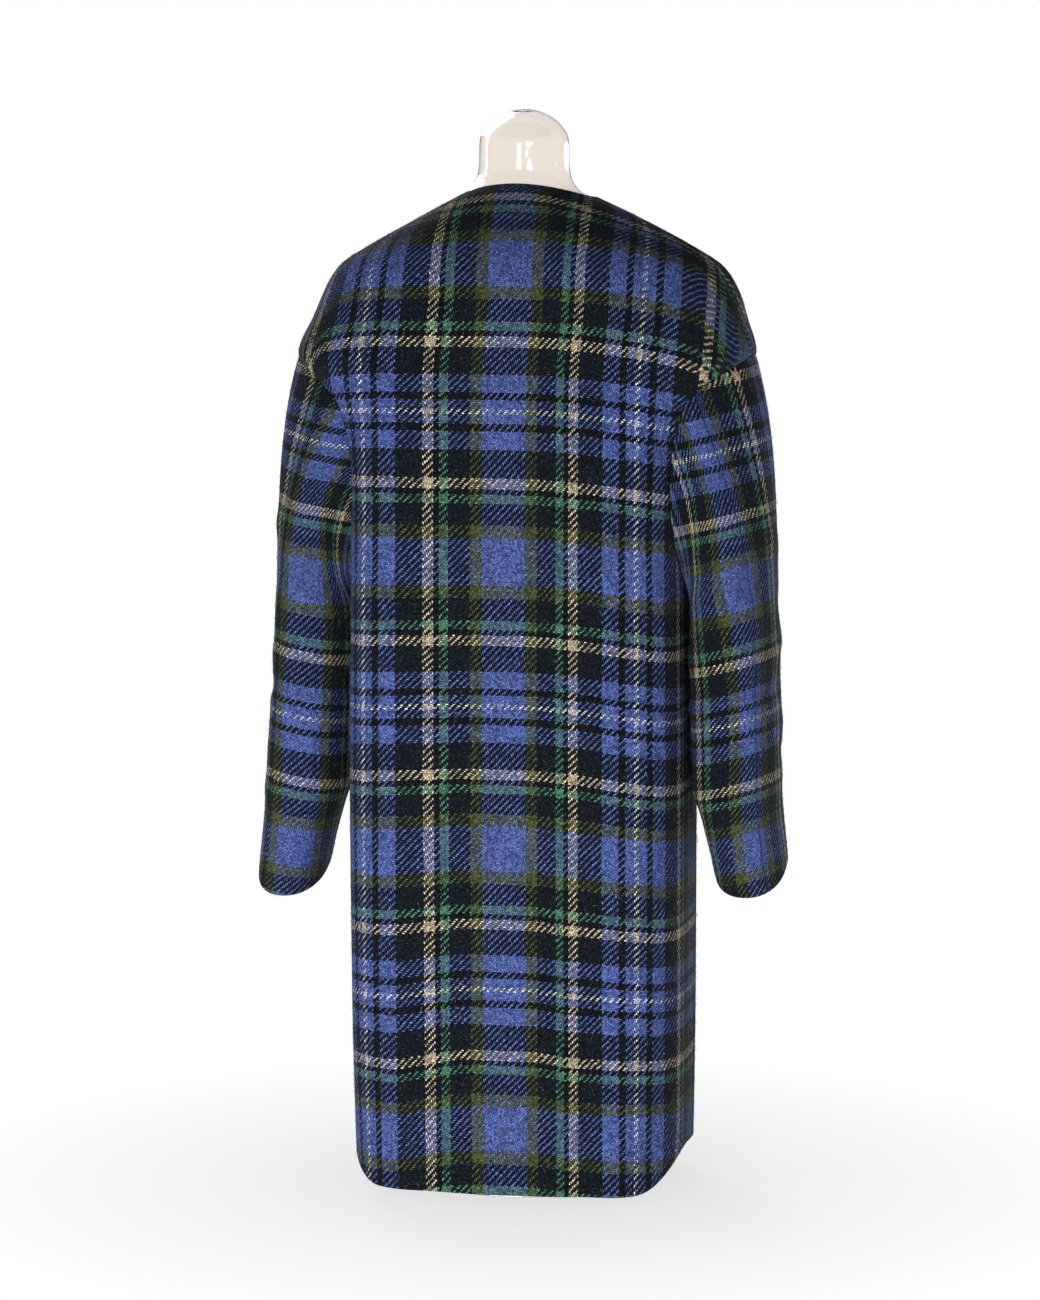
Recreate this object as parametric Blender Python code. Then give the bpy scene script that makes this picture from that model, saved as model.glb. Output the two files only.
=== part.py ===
"""Single-breasted, collarless coat in checked wool, worn by a clear limbless dress form on a short stand.

Metres, +Z up, origin on the surface under the middle of the stand's base. The coat's front faces -Y, so its
back faces +Y, and the wearer's left is +X. The cloth is a set of walls on one shape: rings round the body whose
sizes are in BODY, an armhole on each side, and sleeves that leave the armholes and follow the rings in SLEEVE.
"""

import math

import bmesh
import bpy
import numpy as np
from mathutils import Vector

# ---- cloth and seams
CLOTH = 0.003  # thickness of the wool
SEAM = 0.0003  # gap between two pieces at a seam
SLEEVE_GAP = 0.0008  # the same between a sleeve's two panels, which twist as they leave the armhole
ARMHOLE_GAP = 0.0011  # how far a sleeve starts from the armhole's line
HEM = 0.009  # height of the hem over the surface
UNDERARM = 0.600  # lowest point of the armhole
DROP_SEAM = 0.822  # highest point of the armhole, on the dropped shoulder
NECK_SIDE = 0.973  # height of the neck edge at the side
HEM_RISE = 0.034  # how much higher the hem is at the side seams than behind and before
HEM_RISE_TURN = 50.0  # degrees round a quarter ring from the side seam within which it rises
HEM_RISE_REACH = 0.16  # height over the hem within which the rows settle back to level

# ---- body: one line for each ring round the coat, named by its height at the side
#       side, back and front are heights; width is half the ring's width, deep_back and deep_front its reach
#       behind and before the side line; square_back and square_front are 2 for an ellipse and more for a
#       squarer corner
BODY_COLUMNS = ("side", "back", "front", "width", "deep_back", "deep_front", "square_back", "square_front")
BODY = (
    (HEM, HEM, HEM, 0.1640, 0.1300, 0.1350, 3.3, 2.9),
    (0.200, 0.200, 0.200, 0.1650, 0.1350, 0.1400, 3.9, 3.0),
    (0.400, 0.400, 0.400, 0.1650, 0.1390, 0.1410, 4.2, 3.0),
    (UNDERARM, UNDERARM, UNDERARM, 0.1630, 0.1410, 0.1410, 4.2, 2.8),
    (0.680, 0.680, 0.677, 0.1635, 0.1415, 0.1405, 3.9, 2.8),
    (0.730, 0.730, 0.724, 0.1690, 0.1415, 0.1400, 3.7, 2.7),
    (0.765, 0.765, 0.754, 0.1830, 0.1415, 0.1390, 3.3, 2.6),
    (0.795, 0.796, 0.779, 0.2070, 0.1414, 0.1372, 3.0, 2.4),
    (DROP_SEAM, 0.824, 0.800, 0.2235, 0.1412, 0.1350, 2.8, 2.3),
    (0.857, 0.862, 0.823, 0.2120, 0.1405, 0.1305, 2.6, 2.1),
    (0.882, 0.890, 0.837, 0.2030, 0.1385, 0.1260, 2.4, 2.1),
    (0.905, 0.914, 0.850, 0.1890, 0.1330, 0.1190, 2.3, 2.0),
    (0.925, 0.936, 0.862, 0.1590, 0.1210, 0.1120, 2.2, 2.0),
    (0.943, 0.957, 0.872, 0.1260, 0.1040, 0.1040, 2.1, 2.0),
    (0.960, 0.975, 0.881, 0.0930, 0.0830, 0.0960, 2.0, 2.0),
    (NECK_SIDE, 0.9865, 0.887, 0.0660, 0.0610, 0.0880, 2.0, 2.0),
)

# ---- sway: the coat hangs a little to the wearer's right of its stand at these heights
SWAY = ((0.0, -0.0020), (0.80, -0.0030), (0.88, -0.0080), (0.94, -0.0070), (0.99, -0.0020))

# ---- armhole: how far behind and before the side line it cuts the body's rings
ARMHOLE_COLUMNS = ("height", "behind", "before")
ARMHOLE = (
    (UNDERARM, 0.0000, 0.0000),
    (0.6015, 0.0220, 0.0200),
    (0.606, 0.0430, 0.0400),
    (0.615, 0.0600, 0.0560),
    (0.632, 0.0750, 0.0700),
    (0.660, 0.0860, 0.0800),
    (0.700, 0.0910, 0.0850),
    (0.745, 0.0950, 0.0880),
    (0.775, 0.0985, 0.0900),
    (0.790, 0.0930, 0.0850),
    (0.802, 0.0780, 0.0720),
    (0.812, 0.0570, 0.0530),
    (0.819, 0.0310, 0.0290),
    (DROP_SEAM, 0.0000, 0.0000),
)

# ---- sleeve: one line for each ring below the armhole; tilt turns a ring about X so that its back edge drops
SLEEVE_COLUMNS = ("height", "out", "behind", "width", "deep", "tilt", "square")
SLEEVE = (
    (0.560, 0.2070, 0.0000, 0.0415, 0.0860, 2.0, 2.3),
    (0.500, 0.2085, 0.0010, 0.0425, 0.0820, 3.0, 2.3),
    (0.440, 0.2120, -0.0010, 0.0430, 0.0770, 6.0, 2.3),
    (0.400, 0.2145, -0.0050, 0.0415, 0.0730, 10.0, 2.3),
    (0.360, 0.2215, -0.0140, 0.0375, 0.0680, 15.0, 2.3),
    (0.325, 0.2280, -0.0260, 0.0355, 0.0630, 20.0, 2.2),
    (0.300, 0.2320, -0.0360, 0.0345, 0.0600, 22.0, 2.2),
)
# directions in which the sleeve leaves the armhole: share of the way from the drop seam down to the underarm,
# then X, Y and Z
SLEEVE_START = (
    (0.00, 0.30, 0.00, -0.95),
    (0.25, 0.25, 0.05, -0.97),
    (0.36, 0.45, 0.10, -0.88),
    (0.52, 0.85, 0.10, -0.52),
    (0.72, 0.75, 0.05, -0.66),
    (0.86, 0.40, 0.00, -0.92),
    (1.00, 0.10, 0.00, -0.99),
)
RIGHT_SLEEVE_RISE = 0.012  # how much higher the right cuff is, where its sleeve rides up in its folds
CUFF_SWAY = 0.012  # how far both cuffs hang to the wearer's left of the sleeves' table
BACK_SLEEVE_SEAM = 0.160  # shares of the way round the sleeve, from its outer line by the back
FRONT_SLEEVE_SEAM = 0.740

# ---- front closing: the wearer's right front lies over the left, and both pass the middle by this much
OVERLAP = 0.022
OVERLAP_GAP = 0.0008
TUCK_START = 0.025  # distances from the middle between which the left front comes up from under the right one
TUCK_END = 0.046
BUTTON_HEIGHTS = (0.845, 0.735, 0.625, 0.515)
BUTTON_RADIUS = 0.014
BUTTON_THICK = 0.0040
BUTTON_PROFILE = (  # shares of the radius and of the thickness, from the underside's rim to the sunk middle
    (0.86, 0.0),
    (1.00, 0.35),
    (1.00, 0.75),
    (0.92, 1.00),
    (0.70, 0.95),
    (0.62, 0.62),
)
BUTTON_HOLES = 4
BUTTON_HOLE_RADIUS = 0.0011
BUTTON_HOLE_OUT = 0.0032  # from the button's middle to a hole's

# ---- dress form: rings as in BODY up to the shoulders, then its neck
FORM_WALL = 0.004
FORM_GAP = 0.0008  # the cloth's clearance where it rests on the shoulders
FORM_FRONT_GAP = 0.009  # and more of it below the throat, where the two fronts lie over each other
FORM_BOTTOM = 0.360
FORM = (  # columns as in BODY
    (FORM_BOTTOM, FORM_BOTTOM, FORM_BOTTOM, 0.1400, 0.1050, 0.0980, 2.3, 2.2),
    (0.420, 0.420, 0.420, 0.1480, 0.1120, 0.1020, 2.3, 2.2),
    (0.500, 0.500, 0.500, 0.1370, 0.1000, 0.0970, 2.3, 2.2),
    (0.580, 0.580, 0.580, 0.1180, 0.0860, 0.0890, 2.3, 2.2),
    (0.660, 0.660, 0.660, 0.1280, 0.0960, 0.1030, 2.3, 2.2),
    (0.730, 0.730, 0.730, 0.1390, 0.1090, 0.1170, 2.3, 2.2),
    (0.790, 0.790, 0.784, 0.1490, 0.1200, 0.1150, 2.3, 2.2),
    (0.840, 0.845, 0.818, 0.1590, 0.1270, 0.1120, 2.2, 2.1),
    (0.875, 0.886, 0.838, 0.1670, 0.1250, 0.1060, 2.2, 2.0),
    (0.898, 0.910, 0.850, 0.1640, 0.1180, 0.0980, 2.2, 2.0),
    (0.915, 0.927, 0.859, 0.1500, 0.1080, 0.0930, 2.1, 2.0),
)
RESTING_ROWS = (0.932, 0.949, 0.962, NECK_SIDE)  # rows of the coat whose underside the form's shoulders follow
NECK_TOP = 1.057
NECK_BEHIND = 0.004  # the neck's middle stands this far behind the side line
NECK_FOOT = (  # columns as in BODY
    (0.9800, 0.9900, 0.9320, 0.0530, 0.0545, 0.0600, 2.0, 2.0),
    (0.9910, 0.9980, 0.9680, 0.0460, 0.0510, 0.0470, 2.0, 2.0),
    (1.0060, 1.0080, 0.9960, 0.0438, 0.0502, 0.0422, 2.0, 2.0),
)
DOME = (  # depth below the top, half the width and half the depth front to back
    (0.0360, 0.0436, 0.0460),
    (0.0270, 0.0426, 0.0449),
    (0.0190, 0.0385, 0.0406),
    (0.0130, 0.0335, 0.0353),
    (0.0085, 0.0280, 0.0295),
    (0.0050, 0.0220, 0.0232),
    (0.0018, 0.0140, 0.0148),
)

# ---- stand
BASE_RADIUS = 0.100
BASE_THICK = 0.006
BASE_CHAMFER = 0.001
SOCKET_RADIUS = 0.026
SOCKET_HEIGHT = 0.022
POLE_RADIUS = 0.0125
POLE_IN_FORM = 0.060  # length of pole inside the form
FLANGE_RADIUS = 0.040
FLANGE_THICK = 0.006

# ---- how finely the solids are cut
BACK_COLUMNS = 22
FRONT_COLUMNS = 12
SLEEVE_HEAD_ROWS = 7
FORM_FRONT_COLUMNS = 16
# rows of the body's panels beside the armhole: height at its edge, and at the middle of the back and front
ARMHOLE_ROWS = (
    (0.6012, 0.611),
    (0.6055, 0.624),
    (0.6145, 0.638),
    (0.630, 0.653),
    (0.655, 0.671),
    (0.686, 0.692),
    (0.717, 0.714),
    (0.746, 0.736),
    (0.770, 0.757),
    (0.787, 0.775),
    (0.799, 0.791),
    (0.809, 0.806),
    (0.817, 0.820),
    (0.8207, 0.832),
    (DROP_SEAM, 0.843),
)
STAND_SIDES = 40
BUTTON_SIDES = 24
HOLE_SIDES = 6
FINE_POINTS = 361  # on each fine line that a row is read from
SIDE_CROWDING = 1.6  # more than 1 crowds a fine line's points towards its side end
HEAD_CROWDING = 1.15  # and a sleeve's first rows towards the armhole
SHARP_ANGLE = math.radians(40)

COLOURS = {  # base colour, roughness, metallic
    "wool": ((0.052, 0.066, 0.115), 0.95, 0.0),
    "button": ((0.020, 0.024, 0.035), 0.35, 0.0),
    "clear": ((0.86, 0.82, 0.78), 0.06, 0.0),
    "steel": ((0.62, 0.62, 0.64), 0.30, 1.0),
}


# ------------------------------------------------------------------ curves through tables


def monotone(xs, ys, at):
    """Smooth curve through (xs, ys) that never overshoots, read at the places `at`."""
    xs, ys, at = (np.asarray(v, float) for v in (xs, ys, at))
    step = np.diff(xs)
    slope = np.diff(ys) / step
    tangent = np.zeros_like(ys)
    same = slope[1:] * slope[:-1] > 0
    near, far = 2 * step[1:] + step[:-1], step[1:] + 2 * step[:-1]
    with np.errstate(divide="ignore", invalid="ignore"):
        mean = (near + far) / (near / slope[:-1] + far / slope[1:])
    tangent[1:-1] = np.where(same, mean, 0.0)
    tangent[0], tangent[-1] = slope[0], slope[-1]
    k = np.clip(np.searchsorted(xs, at, side="right") - 1, 0, len(step) - 1)
    t = np.clip((at - xs[k]) / step[k], 0, 1)
    return (
        ys[k] * (1 + 2 * t) * (1 - t) ** 2
        + tangent[k] * step[k] * t * (1 - t) ** 2
        + ys[k + 1] * t * t * (3 - 2 * t)
        - tangent[k + 1] * step[k] * t * t * (1 - t)
    )


def column(table, columns, name, at):
    """One named column of a table, read at values of the table's first column."""
    rows = sorted(table)
    place = columns.index(name)
    return monotone([r[0] for r in rows], [r[place] for r in rows], at)


def along(points, shares):
    """Points, with whatever further columns they carry, at the given shares of a polyline's length."""
    step = np.linalg.norm(np.diff(points[:, :3], axis=0), axis=1)
    length = np.concatenate([[0], np.cumsum(step)])
    want = np.asarray(shares) * length[-1]
    return np.stack([np.interp(want, length, column) for column in points.T], axis=1)


def smooth(t):
    t = np.clip(t, 0, 1)
    return t * t * (3 - 2 * t)


def unit(vectors):
    return vectors / np.linalg.norm(vectors, axis=-1, keepdims=True)


# ------------------------------------------------------------------ the body of the coat


MIRROR = np.array([-1.0, 1.0, 1.0])
QUARTER = math.pi / 2


def surface(height, angle, way):
    """Points of the coat's outer side at heights of BODY and angles from the side line (0) to the middle of the
    back (way +1) or of the front (way -1)."""
    where = "back" if way > 0 else "front"
    deep, square, middle, width = (
        column(BODY, BODY_COLUMNS, name, height) for name in ("deep_" + where, "square_" + where, where, "width")
    )
    c, s = np.clip(np.cos(angle), 0, 1), np.clip(np.sin(angle), 0, 1)
    to_hem = np.clip(1 - (height - HEM) / HEM_RISE_REACH, 0, 1)
    rise = HEM_RISE * to_hem**2 * smooth(1 - angle / math.radians(HEM_RISE_TURN))
    z = height + (middle - height) * s**2 + rise
    return np.stack([width * c ** (2 / square), way * deep * s ** (2 / square), z], axis=-1)


def surface_normals(height, angle, way):
    """Unit normals of the same surface, facing out."""
    nudge = 1e-4
    turned_by = surface(height, np.minimum(angle + nudge, QUARTER), way)
    turned_by -= surface(height, np.maximum(angle - nudge, 0), way)
    raised_by = surface(np.minimum(height + nudge, NECK_SIDE), angle, way)
    raised_by -= surface(np.maximum(height - nudge, HEM), angle, way)
    return unit(np.cross(turned_by, raised_by) * way)


def cut_angle(height, way):
    """The angle at which the armhole cuts the ring at a height, or 0 above and below it."""
    if not UNDERARM < height < DROP_SEAM:
        return 0.0
    where, reach = ("back", "behind") if way > 0 else ("front", "before")
    deep = column(BODY, BODY_COLUMNS, "deep_" + where, height)
    square = column(BODY, BODY_COLUMNS, "square_" + where, height)
    cut = column(ARMHOLE, ARMHOLE_COLUMNS, reach, height)
    return float(np.arcsin((cut / deep) ** (square / 2)))


def body_line(edge, middle, way):
    """A fine line on the surface from the side line, or the armhole, at one height to the middle at another.
    Each point also carries the height and the angle it was made from."""
    first = cut_angle(edge, way)
    share = np.linspace(0, 1, FINE_POINTS) ** SIDE_CROWDING
    angle = first + (QUARTER - first) * share
    height = edge + (middle - edge) * share
    return np.concatenate([surface(height, angle, way), height[:, None], angle[:, None]], axis=1)


def panel_of(lines, way):
    """Points and normals of a panel from its rows as body_line gives them."""
    lines = np.array(lines)
    height, angle = lines[:, :, 3], lines[:, :, 4]
    normals = [surface_normals(h, a, way) for h, a in zip(height, angle)]
    return lines[:, :, :3], np.array(normals)


def length_of(points):
    return float(np.linalg.norm(np.diff(points[:, :3], axis=0), axis=1).sum())


def sway(points):
    """Moves points of the cloth sideways by the coat's sway at their heights."""
    heights, shift = zip(*SWAY)
    points = np.array(points, float)
    points[..., 0] += monotone(heights, shift, np.clip(points[..., 2], heights[0], heights[-1]))
    return points


def body_rows():
    """Heights of the panels' rows at their side edge and at the middle."""
    below = [(h, h) for h in np.linspace(HEM, UNDERARM, 9)]
    shoulder = [(0.840, 0.856), (0.860, 0.871), (0.880, 0.887), (0.898, 0.902), (0.915, 0.917)]
    return [*below, *ARMHOLE_ROWS, *shoulder, *((h, h) for h in RESTING_ROWS)]


def back_panel(rows):
    """The back's outer side and normals, with columns from the wearer's left to right."""
    shares = np.linspace(0, 1, BACK_COLUMNS // 2 + 1)
    halves = panel_of([along(body_line(edge, middle, 1), shares) for edge, middle in rows], 1)
    return [np.concatenate([left, left[:, -2::-1] * MIRROR], axis=1) for left in halves]


def left_front_panel(rows):
    """The left front's outer side and normals, with columns from its edge past the middle to its side seam."""
    lines = []
    for edge, middle in rows:
        line = body_line(edge, middle, -1)
        near = 1 - np.array([-OVERLAP, -OVERLAP / 2, 0, OVERLAP / 2, TUCK_START, TUCK_END]) / length_of(line)
        shares = np.concatenate([near, np.linspace(near[-1], 0, FRONT_COLUMNS - 4)[1:]])
        lines.append(along(line, 1 - np.abs(1 - shares)))
    past = shares > 1
    panel = panel_of(lines, -1)
    for part in panel:
        part[:, past] *= MIRROR
    return panel


def mirrored(grid):
    """The same panel on the other side of the body, still facing out."""
    return grid[:, ::-1] * MIRROR


# ------------------------------------------------------------------ sleeves


def sleeve_ring(height, shares):
    """One ring of the sleeve below the armhole, at shares of the way round from its outer line by the back."""
    out, behind, width, deep, tilt, square = (
        float(column(SLEEVE, SLEEVE_COLUMNS, name, height)) for name in SLEEVE_COLUMNS[1:]
    )
    angles = np.linspace(0, 2 * math.pi, 2 * FINE_POINTS)
    c = np.sign(np.cos(angles)) * np.abs(np.cos(angles)) ** (2 / square)
    s = np.sign(np.sin(angles)) * np.abs(np.sin(angles)) ** (2 / square)
    tilt = math.radians(tilt)
    ring = np.stack(
        [out + width * c, behind + deep * s * math.cos(tilt), height - deep * s * math.sin(tilt)], axis=1
    )
    return along(ring, shares)


def sleeve_grid(loop):
    """The left sleeve's outer side, rows from the cuff to the armhole, whose closed line starts at the drop seam
    and runs by the back and the underarm to the front."""
    step = np.linalg.norm(np.diff(loop, axis=0), axis=1)
    shares = np.concatenate([[0], np.cumsum(step)]) / step.sum()
    low = [r[0] for r in SLEEVE]
    first = sleeve_ring(low[0], shares)
    end = unit(sleeve_ring(low[0] - 0.01, shares) - first)
    down = 1 - np.abs(1 - 2 * shares)
    steps, *ways = zip(*SLEEVE_START)
    start = np.stack([np.interp(down, steps, way) for way in ways], axis=1)
    start = unit(start * np.where(shares[:, None] <= 0.5, 1, (1, -1, 1)))
    reach = np.linalg.norm(first - loop, axis=1)[:, None]
    top = loop + start * ARMHOLE_GAP
    head = []
    for t in np.linspace(0, 1, SLEEVE_HEAD_ROWS + 1)[:-1] ** HEAD_CROWDING:
        head.append(
            top * (1 + 2 * t) * (1 - t) ** 2
            + start * reach * t * (1 - t) ** 2
            + first * t * t * (3 - 2 * t)
            - end * reach * t * t * (1 - t)
        )
    return shares, np.array(head + [sleeve_ring(h, shares) for h in low])[::-1]


# ------------------------------------------------------------------ making solids


def material(name):
    found = bpy.data.materials.get(name)
    if found:
        return found
    made = bpy.data.materials.new(name)
    made.use_nodes = True
    shader = made.node_tree.nodes["Principled BSDF"]
    colour, rough, metal = COLOURS[name]
    shader.inputs["Base Color"].default_value = (*colour, 1)
    shader.inputs["Roughness"].default_value = rough
    shader.inputs["Metallic"].default_value = metal
    return made


def add_object(name, mesh, finish):
    mesh.materials.append(material(finish))
    mesh.shade_smooth()
    mesh.set_sharp_from_angle(angle=SHARP_ANGLE)
    made = bpy.data.objects.new(name, mesh)
    bpy.context.scene.collection.objects.link(made)
    return made


def grid_normals(grid):
    """Unit normals of a grid of points, rows by columns."""
    return unit(np.cross(np.gradient(grid, axis=1), np.gradient(grid, axis=0)))


def ring_normals(rings):
    """Unit normals of closed rings, bottom up."""
    wrapped = np.concatenate([rings[:, -1:], rings, rings[:, :1]], axis=1)
    return grid_normals(wrapped)[:, 1:-1]


def wall(name, outer, normals, first_gap=SEAM / 2, last_gap=SEAM / 2):
    """A closed wall of cloth: `outer` is its outer side, rows from the bottom up, and a copy moved in by the
    thickness is its inner side. Its first and last columns draw back along their rows to leave a seam's gap."""
    inner = outer - normals * CLOTH
    rows, columns, _ = outer.shape
    for edge, inside, gap in ((0, 1, first_gap), (-1, -2, last_gap)):
        way = outer[:, inside] - outer[:, edge]
        way = way / np.linalg.norm(way, axis=1)[:, None] * gap
        outer, inner = outer.copy(), inner.copy()
        outer[:, edge] += way
        inner[:, edge] += way
    points = sway(np.concatenate([outer.reshape(-1, 3), inner.reshape(-1, 3)]))
    behind = rows * columns
    faces = []
    for r in range(rows - 1):
        for c in range(columns - 1):
            a, b = r * columns + c, r * columns + c + 1
            quad = [a, b, b + columns, a + columns]
            slants = np.linalg.norm(points[quad[:2]] - points[quad[2:]], axis=1)
            if slants[0] > slants[1]:
                quad = quad[1:] + quad[:1]
            for corners in (quad[:3], [quad[0], *quad[2:]]):
                faces += [corners, [i + behind for i in reversed(corners)]]
    rim = list(range(columns))
    rim += [r * columns + columns - 1 for r in range(1, rows)]
    rim += [(rows - 1) * columns + c for c in range(columns - 2, -1, -1)]
    rim += [r * columns for r in range(rows - 2, 0, -1)]
    for a, b in zip(rim, rim[1:] + rim[:1]):
        faces.append([b, a, a + behind, b + behind])
    mesh = bpy.data.meshes.new(name)
    mesh.from_pydata(points.tolist(), [], faces)
    return add_object(name, mesh, finish="wool")


def solid_of_rings(name, rings, finish):
    """A closed solid through rings from the bottom up, flat at both ends."""
    columns = len(rings[0])
    faces = [list(range(columns))[::-1]]
    for r in range(len(rings) - 1):
        for c in range(columns):
            a, b = r * columns + c, r * columns + (c + 1) % columns
            faces.append([a, b, b + columns, a + columns])
    last = (len(rings) - 1) * columns
    faces.append([last + c for c in range(columns)])
    mesh = bpy.data.meshes.new(name)
    mesh.from_pydata([tuple(p) for ring in rings for p in ring], [], faces)
    return add_object(name, mesh, finish)


def turned(name, profile, finish, sides):
    """A solid turned about Z from (radius, height) pairs, bottom to top, closed flat at both ends."""
    turn = np.linspace(0, 2 * math.pi, sides, endpoint=False)
    rings = [np.stack([r * np.cos(turn), r * np.sin(turn), np.full(sides, z)], axis=1) for r, z in profile]
    return solid_of_rings(name, rings, finish)


# ------------------------------------------------------------------ the pieces


def make_coat():
    """The back, the two fronts and the sleeves, whose walls share their normals wherever they are sewn."""
    rows = body_rows()
    back, back_normals = back_panel(rows)
    front, front_normals = left_front_panel(rows)
    open_rows = [i for i, (edge, _) in enumerate(rows) if UNDERARM <= edge <= DROP_SEAM]
    down, up = open_rows[::-1], open_rows[1:]
    loop = np.concatenate([back[down, 0], front[up, -1]])
    shares, sleeve = sleeve_grid(loop)
    sleeve_normals = ring_normals(sleeve[:, :-1])
    sleeve_normals = np.concatenate([sleeve_normals, sleeve_normals[:, :1]], axis=1)

    side = [i for i in range(len(rows)) if i not in open_rows[1:-1]]
    shared = unit(back_normals[side, 0] + front_normals[side, -1])
    back_normals[side, 0] = front_normals[side, -1] = shared
    body = np.concatenate([back_normals[down, 0], front_normals[up, -1]])
    shared = unit(body + sleeve_normals[-1])
    sleeve_normals[-1] = shared
    back_normals[down, 0], front_normals[up, -1] = shared[: len(down)], shared[len(down) :]
    front_normals[down[-1], -1] = back_normals[down[-1], 0]
    back_normals[:, -1] = back_normals[:, 0] * MIRROR

    wall("back", back, back_normals)
    wall("front_right", mirrored(front), mirrored(front_normals), last_gap=0)
    under = smooth((TUCK_END - front[:, :, :1]) / (TUCK_END - TUCK_START)) * (CLOTH + OVERLAP_GAP)
    wall("front_left", front - front_normals * under, front_normals, first_gap=0)

    lowness = np.clip((SLEEVE[0][0] - sleeve[:, :, 2:]) / (SLEEVE[0][0] - SLEEVE[-1][0]), 0, 1) ** 2
    left = sleeve + lowness * (CUFF_SWAY, 0, 0)
    right = sleeve + lowness * (-CUFF_SWAY, 0, RIGHT_SLEEVE_RISE)
    behind, before = (int(np.argmin(np.abs(shares - seam))) for seam in (BACK_SLEEVE_SEAM, FRONT_SLEEVE_SEAM))
    around = [*range(before, len(shares)), *range(1, behind + 1)]
    for panel, part in (("under", list(range(behind, before + 1))), ("top", around)):
        wall(f"sleeve_left_{panel}", left[:, part], sleeve_normals[:, part], SLEEVE_GAP / 2, SLEEVE_GAP / 2)
        right_part, right_normals = mirrored(right[:, part]), mirrored(sleeve_normals[:, part])
        wall(f"sleeve_right_{panel}", right_part, right_normals, SLEEVE_GAP / 2, SLEEVE_GAP / 2)


def make_buttons():
    """The buttons on the right front, each turned to lie on the cloth."""
    for number, height in enumerate(BUTTON_HEIGHTS, 1):
        below, middle, above = sway([surface(height + up * BUTTON_RADIUS, QUARTER, -1) for up in (-1, 0, 1)])
        normal = unit(np.cross((1, 0, 0), above - below))
        profile = [(BUTTON_RADIUS * out, BUTTON_THICK * up) for out, up in BUTTON_PROFILE]
        made = turned(f"button_{number}", profile, "button", BUTTON_SIDES)
        holes = drill_holes()
        cut = made.modifiers.new("holes", "BOOLEAN")
        cut.operation = "DIFFERENCE"
        cut.object = holes
        for obj in (made, holes):
            place(obj, middle + normal * SEAM, normal)


def place(obj, where, normal):
    """Stands an object's own Z along a normal at a point."""
    obj.rotation_mode = "QUATERNION"
    obj.rotation_quaternion = Vector(normal).to_track_quat("Z", "X")
    obj.location = where


def drill_holes():
    """One cutter with a pin for each hole in a button's sunk middle."""
    shape = bmesh.new()
    for i in range(BUTTON_HOLES):
        turn = 2 * math.pi * (i + 0.5) / BUTTON_HOLES
        pin = bmesh.ops.create_cone(
            shape,
            cap_ends=True,
            segments=HOLE_SIDES,
            radius1=BUTTON_HOLE_RADIUS,
            radius2=BUTTON_HOLE_RADIUS,
            depth=3 * BUTTON_THICK,
        )
        out = (BUTTON_HOLE_OUT * math.cos(turn), BUTTON_HOLE_OUT * math.sin(turn), 0.0)
        bmesh.ops.translate(shape, verts=pin["verts"], vec=out)
    mesh = bpy.data.meshes.new("button_holes")
    shape.to_mesh(mesh)
    shape.free()
    holes = bpy.data.objects.new("button_holes", mesh)
    holes.hide_render = True
    holes.display_type = "WIRE"
    bpy.context.scene.collection.objects.link(holes)
    return holes


def ring_of(back_half, front_half):
    """A closed ring from the left half's quarter lines, sampled where the coat's own rows are."""
    back = along(back_half, np.linspace(0, 1, BACK_COLUMNS // 2 + 1))
    front = along(front_half, np.linspace(0, 1, FORM_FRONT_COLUMNS // 2 + 1))
    left = np.concatenate([front[:0:-1], back])
    return np.concatenate([left, left[-2:0:-1] * MIRROR])


def table_ring(row):
    """A closed ring from one line of a table with BODY's columns."""
    side, back, front, width, deep_back, deep_front, square_back, square_front = row
    halves = []
    for deep, square, middle in ((deep_back, square_back, back), (-deep_front, square_front, front)):
        angle = QUARTER * np.linspace(0, 1, FINE_POINTS) ** SIDE_CROWDING
        c, s = np.clip(np.cos(angle), 0, 1), np.sin(angle)
        z = side + (middle - side) * s**2
        halves.append(np.stack([width * c ** (2 / square), deep * s ** (2 / square), z], axis=1))
    return ring_of(*halves)


def form_rings():
    """The form's outer side, rings from the bottom to the top of the neck."""
    coat = np.array([ring_of(*(body_line(h, h, way)[:, :3] for way in (1, -1))) for h in RESTING_ROWS])
    normals = ring_normals(coat)
    to_front = np.clip(-normals[:, :, 1:2], 0, 1) ** 2
    resting = sway(coat - normals * (CLOTH + FORM_GAP + FORM_FRONT_GAP * to_front))
    dome = []
    for below, width, deep in DOME:
        z = NECK_TOP - below
        dome.append(table_ring((z, z, z, width, deep + NECK_BEHIND, deep - NECK_BEHIND, 2.0, 2.0)))
    return np.array([*map(table_ring, FORM), *resting, *map(table_ring, NECK_FOOT), *dome])


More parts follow.
